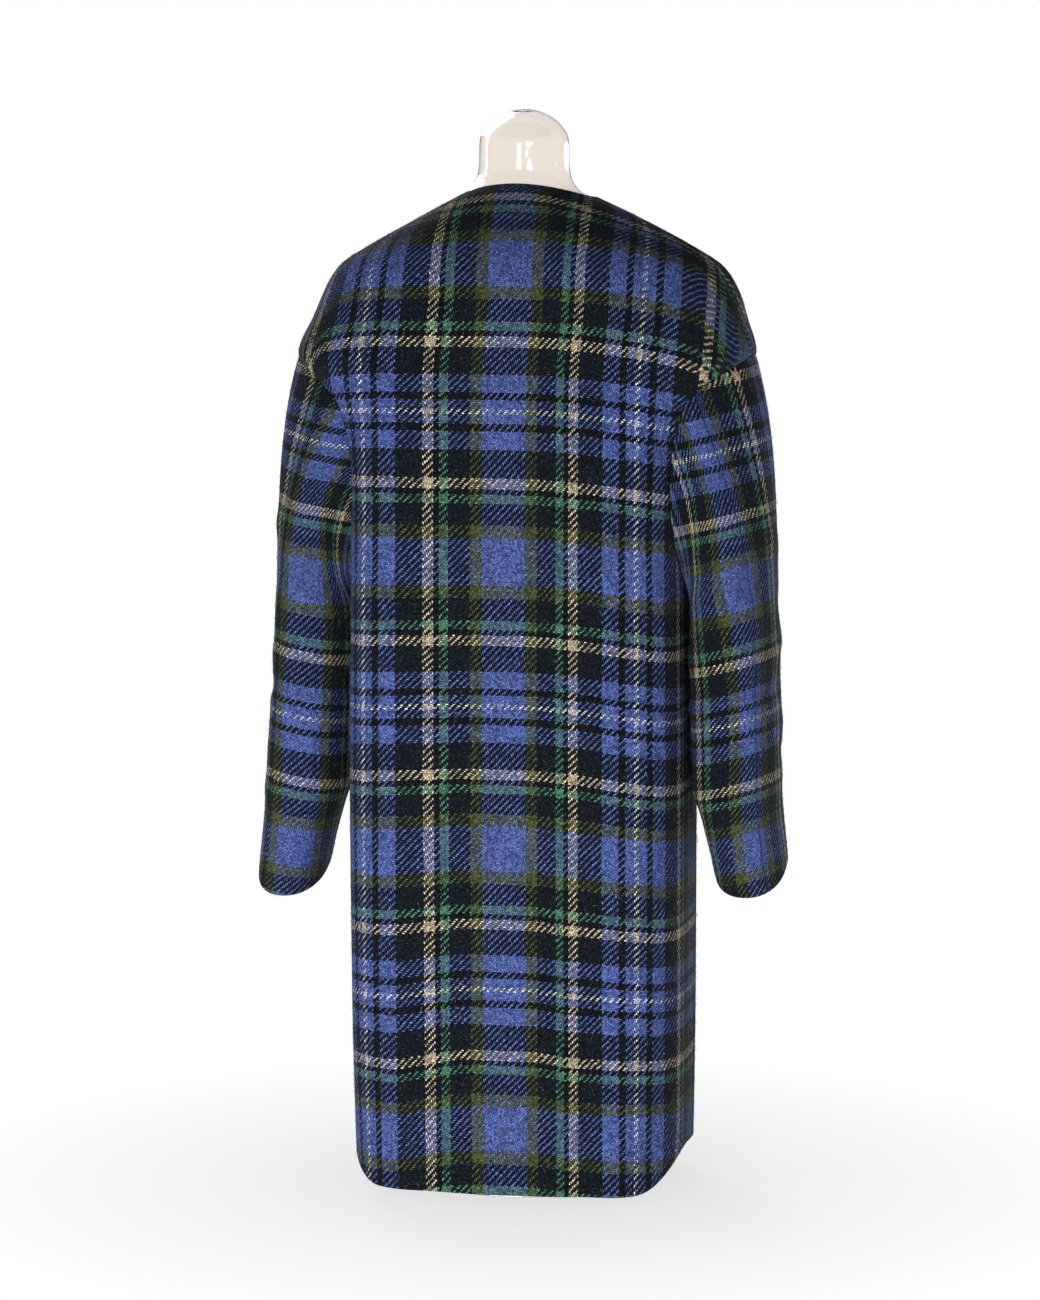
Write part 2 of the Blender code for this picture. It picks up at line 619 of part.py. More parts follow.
def make_form():
    """A hollow shell, closed but for the hole in its floor that the pole goes through."""
    outer = form_rings()
    inner = outer - ring_normals(outer) * FORM_WALL
    inner[0, :, 2] = FORM_BOTTOM + FORM_WALL
    turn = np.arctan2(outer[0, :, 1], outer[0, :, 0])
    hole = np.stack([np.cos(turn), np.sin(turn), np.zeros_like(turn)], axis=1) * (POLE_RADIUS + 2 * SEAM)
    loops = [hole + (0, 0, FORM_BOTTOM), *outer]
    back_down = [*inner[::-1], hole + (0, 0, FORM_BOTTOM + FORM_WALL)]
    columns = len(turn)
    points = np.concatenate([*loops, *back_down])
    tops = [(0, NECK_BEHIND, NECK_TOP), (0, NECK_BEHIND, NECK_TOP - FORM_WALL)]
    first_top = len(points)
    faces = []
    last, first = (len(loops) - 1) * columns, len(loops) * columns
    for start in [r * columns for r in range(len(loops) + len(back_down) - 1)]:
        if start == last:
            continue
        for c in range(columns):
            a, b = start + c, start + (c + 1) % columns
            faces.append([a, b, b + columns, a + columns])
    end = len(points) - columns
    for c in range(columns):
        d = (c + 1) % columns
        faces.append([last + c, last + d, first_top])
        faces.append([first + d, first + c, first_top + 1])
        faces.append([end + c, end + d, d, c])
    mesh = bpy.data.meshes.new("form")
    mesh.from_pydata([*map(tuple, points), *tops], [], faces)
    add_object("form", mesh, "clear")


def make_stand():
    """A round base, a socket on it for the pole, the pole, and the flange that the form's floor sits on."""
    edge = BASE_CHAMFER
    base = (
        (BASE_RADIUS - edge, 0.0),
        (BASE_RADIUS, edge),
        (BASE_RADIUS, BASE_THICK - edge),
        (BASE_RADIUS - edge, BASE_THICK),
    )
    turned("stand_base", base, "steel", STAND_SIDES)
    on_base = BASE_THICK + SEAM
    pole = ((POLE_RADIUS, on_base), (POLE_RADIUS, FORM_BOTTOM + POLE_IN_FORM))
    turned("stand_pole", pole, "steel", STAND_SIDES)
    under_form = FORM_BOTTOM - SEAM
    turned_ring("stand_socket", SOCKET_RADIUS, on_base, on_base + SOCKET_HEIGHT)
    turned_ring("stand_flange", FLANGE_RADIUS, under_form - FLANGE_THICK, under_form)


def turned_ring(name, radius, low, high):
    """A flat ring round the pole."""
    bore = POLE_RADIUS + SEAM
    profile = ((bore, high), (bore, low), (radius, low), (radius, high))
    turn = np.linspace(0, 2 * math.pi, STAND_SIDES, endpoint=False)
    points, faces = [], []
    for r, z in profile:
        points += [(r * math.cos(t), r * math.sin(t), z) for t in turn]
    for k in range(len(profile)):
        for c in range(STAND_SIDES):
            a, b = k * STAND_SIDES + c, k * STAND_SIDES + (c + 1) % STAND_SIDES
            up = ((k + 1) % len(profile) - k) * STAND_SIDES
            faces.append([a, b, b + up, a + up])
    mesh = bpy.data.meshes.new(name)
    mesh.from_pydata(points, [], faces)
    add_object(name, mesh, "steel")


def main():
    for obj in list(bpy.data.objects):
        bpy.data.objects.remove(obj)
    make_coat()
    make_buttons()
    make_form()
    make_stand()


main()
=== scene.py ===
"""Looks of a collarless, single-breasted coat in checked wool, worn by a clear limbless dress form."""

import math

import bpy
import numpy as np
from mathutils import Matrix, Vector


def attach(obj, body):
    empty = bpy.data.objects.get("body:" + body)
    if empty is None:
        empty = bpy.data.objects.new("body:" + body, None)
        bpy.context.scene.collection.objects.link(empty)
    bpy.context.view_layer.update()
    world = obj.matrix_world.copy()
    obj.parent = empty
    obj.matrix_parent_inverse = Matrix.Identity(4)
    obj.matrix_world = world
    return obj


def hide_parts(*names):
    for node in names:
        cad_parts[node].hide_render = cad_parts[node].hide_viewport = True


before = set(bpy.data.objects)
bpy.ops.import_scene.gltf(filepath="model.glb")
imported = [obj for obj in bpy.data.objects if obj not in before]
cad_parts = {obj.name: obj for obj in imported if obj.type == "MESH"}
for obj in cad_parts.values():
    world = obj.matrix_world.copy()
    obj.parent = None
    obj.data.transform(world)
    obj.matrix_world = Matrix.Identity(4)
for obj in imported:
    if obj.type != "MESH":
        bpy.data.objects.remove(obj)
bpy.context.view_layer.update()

# ------------------------------------------------------------------ sizes of the coat, in metres

CLOTH = 0.003
SEAM = 0.0003
ARMHOLE_GAP = 0.0011
HEM = 0.009
UNDERARM = 0.600
DROP_SEAM = 0.822
NECK_SIDE = 0.973
HEM_RISE = 0.034
HEM_RISE_TURN = 50.0
HEM_RISE_REACH = 0.16
BODY_COLUMNS = ("side", "back", "front", "width", "deep_back", "deep_front", "square_back", "square_front")
BODY = (
    (HEM, HEM, HEM, 0.1640, 0.1300, 0.1350, 3.3, 2.9),
    (0.200, 0.200, 0.200, 0.1650, 0.1350, 0.1400, 3.9, 3.0),
    (0.400, 0.400, 0.400, 0.1650, 0.1390, 0.1410, 4.2, 3.0),
    (UNDERARM, UNDERARM, UNDERARM, 0.1630, 0.1410, 0.1410, 4.2, 2.8),
    (0.680, 0.680, 0.677, 0.1635, 0.1415, 0.1405, 3.9, 2.8),
    (0.730, 0.730, 0.724, 0.1690, 0.1415, 0.1400, 3.7, 2.7),
    (0.765, 0.765, 0.754, 0.1830, 0.1415, 0.1390, 3.3, 2.6),
    (0.795, 0.796, 0.779, 0.2070, 0.1414, 0.1372, 3.0, 2.4),
    (DROP_SEAM, 0.824, 0.800, 0.2235, 0.1412, 0.1350, 2.8, 2.3),
    (0.857, 0.862, 0.823, 0.2120, 0.1405, 0.1305, 2.6, 2.1),
    (0.882, 0.890, 0.837, 0.2030, 0.1385, 0.1260, 2.4, 2.1),
    (0.905, 0.914, 0.850, 0.1890, 0.1330, 0.1190, 2.3, 2.0),
    (0.925, 0.936, 0.862, 0.1590, 0.1210, 0.1120, 2.2, 2.0),
    (0.943, 0.957, 0.872, 0.1260, 0.1040, 0.1040, 2.1, 2.0),
    (0.960, 0.975, 0.881, 0.0930, 0.0830, 0.0960, 2.0, 2.0),
    (NECK_SIDE, 0.9865, 0.887, 0.0660, 0.0610, 0.0880, 2.0, 2.0),
)
SWAY = ((0.0, -0.0020), (0.80, -0.0030), (0.88, -0.0080), (0.94, -0.0070), (0.99, -0.0020))
ARMHOLE_COLUMNS = ("height", "behind", "before")
ARMHOLE = (
    (UNDERARM, 0.0000, 0.0000),
    (0.6015, 0.0220, 0.0200),
    (0.606, 0.0430, 0.0400),
    (0.615, 0.0600, 0.0560),
    (0.632, 0.0750, 0.0700),
    (0.660, 0.0860, 0.0800),
    (0.700, 0.0910, 0.0850),
    (0.745, 0.0950, 0.0880),
    (0.775, 0.0985, 0.0900),
    (0.790, 0.0930, 0.0850),
    (0.802, 0.0780, 0.0720),
    (0.812, 0.0570, 0.0530),
    (0.819, 0.0310, 0.0290),
    (DROP_SEAM, 0.0000, 0.0000),
)
BODY_ROWS = (  # heights of rows at the side edge and at the middle
    (HEM, HEM),
    (0.2060, 0.2060),
    (0.4030, 0.4030),
    (UNDERARM, UNDERARM),
    (0.6012, 0.611),
    (0.6055, 0.624),
    (0.6145, 0.638),
    (0.630, 0.653),
    (0.655, 0.671),
    (0.686, 0.692),
    (0.717, 0.714),
    (0.746, 0.736),
    (0.770, 0.757),
    (0.787, 0.775),
    (0.799, 0.791),
    (0.809, 0.806),
    (0.817, 0.820),
    (0.8207, 0.832),
    (DROP_SEAM, 0.843),
    (0.840, 0.856),
    (0.860, 0.871),
    (0.880, 0.887),
    (0.898, 0.902),
    (0.915, 0.917),
    (0.932, 0.932),
    (0.949, 0.949),
    (0.962, 0.962),
    (NECK_SIDE, NECK_SIDE),
)
ROW_SPACING = 0.0055
SLEEVE_COLUMNS = ("height", "out", "behind", "width", "deep", "tilt", "square")
SLEEVE = (
    (0.560, 0.2070, 0.0000, 0.0415, 0.0860, 2.0, 2.3),
    (0.500, 0.2085, 0.0010, 0.0425, 0.0820, 3.0, 2.3),
    (0.440, 0.2120, -0.0010, 0.0430, 0.0770, 6.0, 2.3),
    (0.400, 0.2145, -0.0050, 0.0415, 0.0730, 10.0, 2.3),
    (0.360, 0.2215, -0.0140, 0.0375, 0.0680, 15.0, 2.3),
    (0.325, 0.2280, -0.0260, 0.0355, 0.0630, 20.0, 2.2),
    (0.300, 0.2320, -0.0360, 0.0345, 0.0600, 22.0, 2.2),
)
SLEEVE_START = (
    (0.00, 0.30, 0.00, -0.95),
    (0.25, 0.25, 0.05, -0.97),
    (0.36, 0.45, 0.10, -0.88),
    (0.52, 0.85, 0.10, -0.52),
    (0.72, 0.75, 0.05, -0.66),
    (0.86, 0.40, 0.00, -0.92),
    (1.00, 0.10, 0.00, -0.99),
)
RIGHT_SLEEVE_RISE = 0.012
CUFF_SWAY = 0.012
BACK_SLEEVE_SEAM = 0.160
FRONT_SLEEVE_SEAM = 0.740
OVERLAP = 0.022
OVERLAP_GAP = 0.0008
TUCK_START = 0.025
TUCK_END = 0.046
BUTTON_HEIGHTS = (0.845, 0.735, 0.625, 0.515)
BUTTON_RADIUS = 0.014
BUTTON_HOLE_OUT = 0.0032  # from the button's middle to a hole's
FORM_WALL = 0.004
FORM_GAP = 0.0008
FORM_FRONT_GAP = 0.009
FORM_BOTTOM = 0.360
FORM = (
    (FORM_BOTTOM, FORM_BOTTOM, FORM_BOTTOM, 0.1400, 0.1050, 0.0980, 2.3, 2.2),
    (0.420, 0.420, 0.420, 0.1480, 0.1120, 0.1020, 2.3, 2.2),
    (0.500, 0.500, 0.500, 0.1370, 0.1000, 0.0970, 2.3, 2.2),
    (0.580, 0.580, 0.580, 0.1180, 0.0860, 0.0890, 2.3, 2.2),
    (0.660, 0.660, 0.660, 0.1280, 0.0960, 0.1030, 2.3, 2.2),
    (0.730, 0.730, 0.730, 0.1390, 0.1090, 0.1170, 2.3, 2.2),
    (0.790, 0.790, 0.784, 0.1490, 0.1200, 0.1150, 2.3, 2.2),
    (0.840, 0.845, 0.818, 0.1590, 0.1270, 0.1120, 2.2, 2.1),
    (0.875, 0.886, 0.838, 0.1670, 0.1250, 0.1060, 2.2, 2.0),
    (0.898, 0.910, 0.850, 0.1640, 0.1180, 0.0980, 2.2, 2.0),
    (0.915, 0.927, 0.859, 0.1500, 0.1080, 0.0930, 2.1, 2.0),
)
RESTING_ROWS = (0.932, 0.949, 0.962, NECK_SIDE)
NECK_TOP = 1.057
NECK_BEHIND = 0.004
NECK_FOOT = (
    (0.9800, 0.9900, 0.9320, 0.0530, 0.0545, 0.0600, 2.0, 2.0),
    (0.9910, 0.9980, 0.9680, 0.0460, 0.0510, 0.0470, 2.0, 2.0),
    (1.0060, 1.0080, 0.9960, 0.0438, 0.0502, 0.0422, 2.0, 2.0),
)
DOME = (
    (0.0360, 0.0436, 0.0460),
    (0.0270, 0.0426, 0.0449),
    (0.0190, 0.0385, 0.0406),
    (0.0130, 0.0335, 0.0353),
    (0.0085, 0.0280, 0.0295),
    (0.0050, 0.0220, 0.0232),
    (0.0018, 0.0140, 0.0148),
)
POLE_RADIUS = 0.0125
FOOT_CHAMFER = 0.0012  # round the form's foot
FINE_POINTS = 361  # on each fine line that a row is read from
SIDE_CROWDING = 1.6  # more than 1 crowds a fine line's points towards its side end
SEWING_THICK = 0.0007  # thread over the buttons and round the buttonholes
SEWING_SHIFT = 0.00035  # each of a pair of stitches lies this far off its holes' middles
HOLE_HALF = 0.0150  # half the length of a buttonhole
HOLE_ROUND = 0.0011  # radius of its round ends
HOLE_MIDDLE = -0.0105  # X of its middle
FIBRES_PER_AREA = 9500.0  # loose fibres on a square metre
FLOOR_SIDES = 64  # of each ring of the floor
FLOOR_RINGS = (0.4, 1.2, 4.0, 14.0, 40.0)  # their radii

# ------------------------------------------------------------------ the check, counted in threads

# The thread counts are estimates from the stripes' places in the photograph. The lengths in THREADS_UP,
# THREADS_ACROSS, BLUE_DOWN and SLEEVE_UP weren't chosen by hand: scratch programs worked them out from such
# places, through a camera fitted to the photograph, and DROP was worked out from what one of them printed.

# threads from the middle of the wide blue to the middle of the white line; the rest is mirrored
HALF_SETT = 81.5
SETT = (  # colour and its last thread, counted from the middle of the wide blue
    ("blue", 13.0),
    ("olive", 20.0),
    ("navy", 32.0),
    ("green", 37.0),
    ("black", 40.0),
    ("cream", 46.0),
    ("navy", 61.0),
    ("blue", 71.0),
    ("black", 75.0),
    ("blue", 80.0),
    ("white", HALF_SETT),
)
YARN = {
    "blue": (0.074, 0.112, 0.325),
    "olive": (0.062, 0.074, 0.026),
    "navy": (0.0042, 0.0080, 0.0120),
    "green": (0.062, 0.175, 0.105),
    "black": (0.0030, 0.0045, 0.0060),
    "cream": (0.430, 0.360, 0.245),
    "white": (0.430, 0.450, 0.520),
}
THREAD = 0.00158  # width of one thread
# thread number up the middle of the back, at lengths of cloth above the hem's height
THREADS_UP = (
    (0.0000, -526.5),
    (0.0666, -489.0),
    (0.1389, -446.0),
    (0.2039, -407.5),
    (0.2677, -369.0),
    (0.3419, -326.0),
    (0.4138, -283.0),
    (0.4796, -244.5),
    (0.5432, -206.0),
    (0.6190, -163.0),
    (0.6936, -120.0),
    (0.7622, -81.5),
    (0.8286, -43.0),
    (0.9047, 0.0),
    (0.9669, 34.5),
    (0.9848, 43.0),
    (1.0500, 78.0),
)
# thread number across the back, at lengths of cloth from its middle towards the wearer's right
THREADS_ACROSS = (
    (-0.3000, -167.0),
    (-0.1425, -81.5),
    (-0.0703, -43.0),
    (-0.0290, -20.0),
    (0.0042, 0.0),
    (0.0361, 20.0),
    (0.0708, 43.0),
    (0.1318, 81.5),
    (0.3000, 173.0),
)
# how far the check hangs lower than level at lengths of cloth from the middle: near the hem, half way up the
# back, and near the shoulders
DROP = (
    (-0.300, 0.0200, 0.0120, 0.0040),
    (-0.1425, 0.0140, 0.0072, 0.0010),
    (-0.115, 0.0140, 0.0048, 0.0000),
    (-0.070, 0.0065, 0.0020, 0.0000),
    (-0.030, 0.0000, 0.0000, 0.0000),
    (0.030, 0.0005, 0.0005, 0.0005),
    (0.071, 0.0055, 0.0035, 0.0030),
    (0.132, 0.0080, 0.0125, 0.0105),
    (0.160, 0.0115, 0.0170, 0.0150),
    (0.210, 0.0130, 0.0195, 0.0195),
    (0.300, 0.0130, 0.0200, 0.0200),
)
DROP_AT = (0.13, 0.41, 0.70)  # lengths of cloth above the hem for the three columns
SHOULDER_LEAN = 0.4  # on the right shoulder, how much of the cloth's depth counts towards its length across
LEAN_TOP = 0.93  # it counts like that from this height up
LEAN_FADE = 0.13  # and in full this far below it


# ------------------------------------------------------------------ curves through tables


def monotone(xs, ys, at):
    """Smooth curve through (xs, ys) that never overshoots, read at the places `at`."""
    xs, ys, at = (np.asarray(v, float) for v in (xs, ys, at))
    step = np.diff(xs)
    slope = np.diff(ys) / step
    tangent = np.zeros_like(ys)
    same = slope[1:] * slope[:-1] > 0
    near, far = 2 * step[1:] + step[:-1], step[1:] + 2 * step[:-1]
    with np.errstate(divide="ignore", invalid="ignore"):
        mean = (near + far) / (near / slope[:-1] + far / slope[1:])
    tangent[1:-1] = np.where(same, mean, 0.0)
    tangent[0], tangent[-1] = slope[0], slope[-1]
    k = np.clip(np.searchsorted(xs, at, side="right") - 1, 0, len(step) - 1)
    t = np.clip((at - xs[k]) / step[k], 0, 1)
    return (
        ys[k] * (1 + 2 * t) * (1 - t) ** 2
        + tangent[k] * step[k] * t * (1 - t) ** 2
        + ys[k + 1] * t * t * (3 - 2 * t)
        - tangent[k + 1] * step[k] * t * t * (1 - t)
    )


def column(table, columns, name, at):
    rows = sorted(table)
    place = columns.index(name)
    return monotone([r[0] for r in rows], [r[place] for r in rows], at)


def along(points, shares):
    """Points, with whatever further columns they carry, at the given shares of a polyline's length."""
    step = np.linalg.norm(np.diff(points[:, :3], axis=0), axis=1)
    length = np.concatenate([[0], np.cumsum(step)])
    want = np.asarray(shares) * length[-1]
    return np.stack([np.interp(want, length, column) for column in points.T], axis=1)


def smooth(t):
    t = np.clip(t, 0, 1)
    return t * t * (3 - 2 * t)


def unit(vectors):
    return vectors / np.linalg.norm(vectors, axis=-1, keepdims=True)


def bell(x):
    return np.exp(-np.minimum(x * x, 50.0))


# ------------------------------------------------------------------ the surface of the body

MIRROR = np.array([-1.0, 1.0, 1.0])
QUARTER = math.pi / 2


def surface(height, angle, way):
    """Points of the coat's outer side at heights of BODY and angles from the side line (0) to the middle of
    the back (way +1) or of the front (way -1)."""
    where = "back" if way > 0 else "front"
    names = ("deep_" + where, "square_" + where, where, "width")
    deep, square, middle, width = (column(BODY, BODY_COLUMNS, name, height) for name in names)
    c, s = np.clip(np.cos(angle), 0, 1), np.clip(np.sin(angle), 0, 1)
    to_hem = np.clip(1 - (height - HEM) / HEM_RISE_REACH, 0, 1)
    rise = HEM_RISE * to_hem**2 * smooth(1 - angle / math.radians(HEM_RISE_TURN))
    z = height + (middle - height) * s**2 + rise
    return np.stack([width * c ** (2 / square), way * deep * s ** (2 / square), z], axis=-1)


def surface_normals(height, angle, way):
    nudge = 1e-4
    turned_by = surface(height, np.minimum(angle + nudge, QUARTER), way)
    turned_by -= surface(height, np.maximum(angle - nudge, 0), way)
    raised_by = surface(np.minimum(height + nudge, NECK_SIDE), angle, way)
    raised_by -= surface(np.maximum(height - nudge, HEM), angle, way)
    return unit(np.cross(turned_by, raised_by) * way)


def cut_angle(height, way):
    """The angle at which the armhole cuts the ring at a height, or 0 above and below it."""
    if not UNDERARM < height < DROP_SEAM:
        return 0.0
    where, reach = ("back", "behind") if way > 0 else ("front", "before")
    deep = column(BODY, BODY_COLUMNS, "deep_" + where, height)
    square = column(BODY, BODY_COLUMNS, "square_" + where, height)
    cut = column(ARMHOLE, ARMHOLE_COLUMNS, reach, height)
    return float(np.arcsin((cut / deep) ** (square / 2)))


def body_line(edge, middle, way):
    """A fine line on the surface from the side line, or the armhole, at one height to the middle at another.
    Each point also carries its height, its angle, its length of cloth from the middle, and the same as the
    check counts it on the right shoulder, where the stripes stay more upright."""
    first = cut_angle(edge, way)
    share = np.linspace(0, 1, FINE_POINTS) ** SIDE_CROWDING
    angle = first + (QUARTER - first) * share
    height = edge + (middle - edge) * share
    points = surface(height, angle, way)
    step = np.diff(points, axis=0)
    lean = SHOULDER_LEAN + (1 - SHOULDER_LEAN) * smooth((LEAN_TOP - height[1:]) / LEAN_FADE)
    reaches = []
    for part in (1.0, lean):
        length = np.sqrt(step[:, 0] ** 2 + part * (step[:, 1] ** 2 + step[:, 2] ** 2))
        reaches.append(np.concatenate([np.cumsum(length[::-1])[::-1], [0]]))
    return np.column_stack([points, height, angle, *reaches])


def sway(points):
    heights, shift = zip(*SWAY)
    points = np.array(points, float)
    points[..., 0] += monotone(heights, shift, np.clip(points[..., 2], heights[0], heights[-1]))
    return points


def fine_rows():
    """BODY_ROWS with rows between them."""
    rows = np.array(BODY_ROWS)
    places = [0.0]
    for k, (low, high) in enumerate(zip(rows, rows[1:])):
        count = max(2, round(float(np.abs(high - low).max()) / ROW_SPACING))
        places += [k + (i + 1) / count for i in range(count)]
    numbers = np.arange(len(rows))
    return list(zip(monotone(numbers, rows[:, 0], places), monotone(numbers, rows[:, 1], places)))


def rise_map(way):
    """The length of cloth up the weave from the hem, on a lattice of heights and lengths of cloth from the
    middle."""
    heights = np.concatenate([np.linspace(HEM, 0.80, 41), np.linspace(0.80, NECK_SIDE, 61)[1:]])
    reaches = np.linspace(0, 0.30, 61)
    points = []
    for h in heights:
        line = body_line(h, h, way)[::-1]
        points.append(np.stack([np.interp(reaches, line[:, 5], line[:, i]) for i in range(3)], axis=1))
    points = np.array(points)
    climb = np.linalg.norm(np.diff(points, axis=0), axis=2)
    start = points[:1, :, 2] - HEM
    return heights, reaches, np.concatenate([start, start + np.cumsum(climb, axis=0)])


def read_map(chart, height, reach):
    heights, reaches, values = chart
    a = np.clip(np.interp(height, heights, np.arange(len(heights))), 0, len(heights) - 1.001)
    b = np.clip(np.interp(reach, reaches, np.arange(len(reaches))), 0, len(reaches) - 1.001)
    i, j = a.astype(int), b.astype(int)
    u, v = a - i, b - j
    low = values[i, j] * (1 - v) + values[i, j + 1] * v
    high = values[i + 1, j] * (1 - v) + values[i + 1, j + 1] * v
    return low * (1 - u) + high * u


def drop_of(reach, climb):
    """How far the check hangs lower than level; reach is positive towards the wearer's right."""
    places, *drops = zip(*DROP)
    at = np.clip(reach, places[0], places[-1])
    low, middle, high = (monotone(places, drop, at) for drop in drops)
    up = np.clip((climb - DROP_AT[0]) / (DROP_AT[1] - DROP_AT[0]), 0, 1)
    further = np.clip((climb - DROP_AT[1]) / (DROP_AT[2] - DROP_AT[1]), 0, 1)
    return low + (middle - low) * up + (high - middle) * further


def threads_up(climb):
    lengths, numbers = zip(*THREADS_UP)
    return monotone(lengths, numbers, np.clip(climb, lengths[0], lengths[-1]))


def threads_across(reach):
    lengths, numbers = zip(*THREADS_ACROSS)
    return monotone(lengths, numbers, np.clip(reach, lengths[0], lengths[-1]))


def panel_of(lines, way):
    """Points and normals of a panel's rows, its lengths of cloth from the middle, true and as counted on the
    right shoulder, and its length of cloth from the hem."""
    lines = np.array(lines)
    height, angle, reach = lines[:, :, 3], lines[:, :, 4], lines[:, :, 5]
    normals = np.array([surface_normals(h, a, way) for h, a in zip(height, angle)])
    return lines[:, :, :3], normals, reach, lines[:, :, 6], read_map(rise_map(way), height, reach)


BACK_HALF = 66
FRONT_COUNT = 66
PAST_MIDDLE = 8


def back_panel(rows):
    """Points, normals, lengths of cloth from the middle (positive to the wearer's right) and from the hem."""
    shares = np.linspace(0, 1, BACK_HALF + 1)
    lines = [along(body_line(edge, middle, 1), shares) for edge, middle in rows]
    points, normals, reach, right_reach, climb = panel_of(lines, 1)
    both = [np.concatenate([part, part[:, -2::-1] * MIRROR], axis=1) for part in (points, normals)]
    reach = np.concatenate([-reach, right_reach[:, -2::-1]], axis=1)
    return (*both, reach, np.concatenate([climb, climb[:, -2::-1]], axis=1))


def left_front_panel(rows):
    lines = []
    for edge, middle in rows:
        line = body_line(edge, middle, -1)
        whole = float(np.linalg.norm(np.diff(line[:, :3], axis=0), axis=1).sum())
        near = 1 + OVERLAP / whole * np.linspace(1, 0, PAST_MIDDLE + 1)
        shares = np.concatenate([near[:-1], np.linspace(1, 0, FRONT_COUNT - PAST_MIDDLE)])
        lines.append(along(line, 1 - np.abs(1 - shares)))
    past = shares > 1
    points, normals, reach, _, climb = panel_of(lines, -1)
    for part in (points, normals):
        part[:, past] *= MIRROR
    return points, normals, np.where(past, -reach, reach), climb


def mirrored(grid):
    """The same panel on the other side of the body, still facing out."""
    return grid[:, ::-1] * MIRROR


# ------------------------------------------------------------------ the sleeves' surface

HEAD_ROWS = 38
LOW_SPACING = 0.006


def sleeve_ring(height, shares):
    out, behind, width, deep, tilt, square = (
        float(column(SLEEVE, SLEEVE_COLUMNS, name, height)) for name in SLEEVE_COLUMNS[1:]
    )
    angles = np.linspace(0, 2 * math.pi, 722)
    c = np.sign(np.cos(angles)) * np.abs(np.cos(angles)) ** (2 / square)
    s = np.sign(np.sin(angles)) * np.abs(np.sin(angles)) ** (2 / square)
    tilt = math.radians(tilt)
    ring = np.stack(
        [out + width * c, behind + deep * s * math.cos(tilt), height - deep * s * math.sin(tilt)], axis=1
    )
    return along(ring, shares)


def sleeve_grid(loop):
    """The left sleeve's outer side, rows from the cuff to the armhole, whose closed line starts at the drop
    seam and runs by the back and the underarm to the front."""
    step = np.linalg.norm(np.diff(loop, axis=0), axis=1)
    shares = np.concatenate([[0], np.cumsum(step)]) / step.sum()
    low = np.linspace(SLEEVE[0][0], SLEEVE[-1][0], round((SLEEVE[0][0] - SLEEVE[-1][0]) / LOW_SPACING) + 1)
    first = sleeve_ring(low[0], shares)
    end = unit(sleeve_ring(low[0] - 0.01, shares) - first)
    down = 1 - np.abs(1 - 2 * shares)
    steps, *ways = zip(*SLEEVE_START)
    start = np.stack([np.interp(down, steps, way) for way in ways], axis=1)
    start = unit(start * np.where(shares[:, None] <= 0.5, 1, (1, -1, 1)))
    reach = np.linalg.norm(first - loop, axis=1)[:, None]
    top = loop + start * ARMHOLE_GAP
    head = []
    for t in np.linspace(0, 1, HEAD_ROWS + 1)[:-1] ** 1.15:
        head.append(
            top * (1 + 2 * t) * (1 - t) ** 2
            + start * reach * t * (1 - t) ** 2
            + first * t * t * (3 - 2 * t)
            - end * reach * t * t * (1 - t)
        )
    return shares, np.array(head + [sleeve_ring(h, shares) for h in low])[::-1]


def grid_normals(grid):
    return unit(np.cross(np.gradient(grid, axis=1), np.gradient(grid, axis=0)))


def ring_normals(rings):
    wrapped = np.concatenate([rings[:, -1:], rings, rings[:, :1]], axis=1)
    return grid_normals(wrapped)[:, 1:-1]


# ------------------------------------------------------------------ folds of the cloth

# soft upright folds of the back: where across it (wearer's left is +), half width, how far out, and the
# heights at which each begins to fade and is gone
BACK_FOLDS = (
    (-0.118, 0.020, 0.0032, 0.25, 0.80),
    (-0.080, 0.018, -0.0022, 0.20, 0.72),
    (0.112, 0.026, 0.0026, 0.10, 0.48),
    (0.072, 0.022, -0.0018, 0.10, 0.45),
    (0.010, 0.030, 0.0012, 0.05, 0.40),
)
FRONT_FOLDS = (
    (-0.105, 0.024, 0.0030, 0.20, 0.70),
    (0.110, 0.026, 0.0030, 0.20, 0.66),
    (0.075, 0.020, -0.0018, 0.15, 0.55),
    (-0.070, 0.020, -0.0018, 0.15, 0.55),
)
# slanting creases of the sleeves: height, half width, how far out, and the slant over the sleeve's depth
SLEEVE_FOLDS = (
    (0.640, 0.012, 0.0018, 0.35),
    (0.585, 0.013, -0.0020, 0.30),
    (0.535, 0.011, 0.0022, -0.25),
    (0.500, 0.010, -0.0020, -0.20),
    (0.468, 0.011, 0.0022, 0.30),
    (0.435, 0.010, -0.0016, 0.25),
    (0.395, 0.012, 0.0014, -0.20),
)


def body_folds(points):
    """How far the body's cloth stands out at points of its outer side."""
    x, y, z = points[..., 0], points[..., 1], points[..., 2]
    out = np.zeros_like(x)
    for folds, way in ((BACK_FOLDS, 1), (FRONT_FOLDS, -1)):
        facing = smooth((way * y - 0.06) / 0.05)
        for across, wide, far, fade, gone in folds:
            wander = 0.006 * np.sin(z * 9.0 + across * 40)
            out += far * facing * bell((x - across - wander) / wide) * smooth((gone - z) / (gone - fade))
    return out


def sleeve_folds(points, low):
    """The same for a sleeve; `low` runs from 0 at the armhole to 1 a little below it."""
    y, z = points[..., 1], points[..., 2]
    out = np.zeros_like(y)
    for height, wide, far, slant in SLEEVE_FOLDS:
        out += far * bell((z - height - slant * y) / wide) * (0.55 + 0.45 * np.sin(y * 38 + height * 50))
    return out * low


# ------------------------------------------------------------------ the wool panels

SLEEVE_GAP = 0.0008
EDGE_STEPS = (0.0, 0.0003, 0.0008, 0.0016, 0.0030)
TURNED = 0.00135  # how far the two sides of a turned edge roll towards each other
SEWN = 0.0009  # how far the outer side dips at a seam
FRONT_THREAD = 0.00165


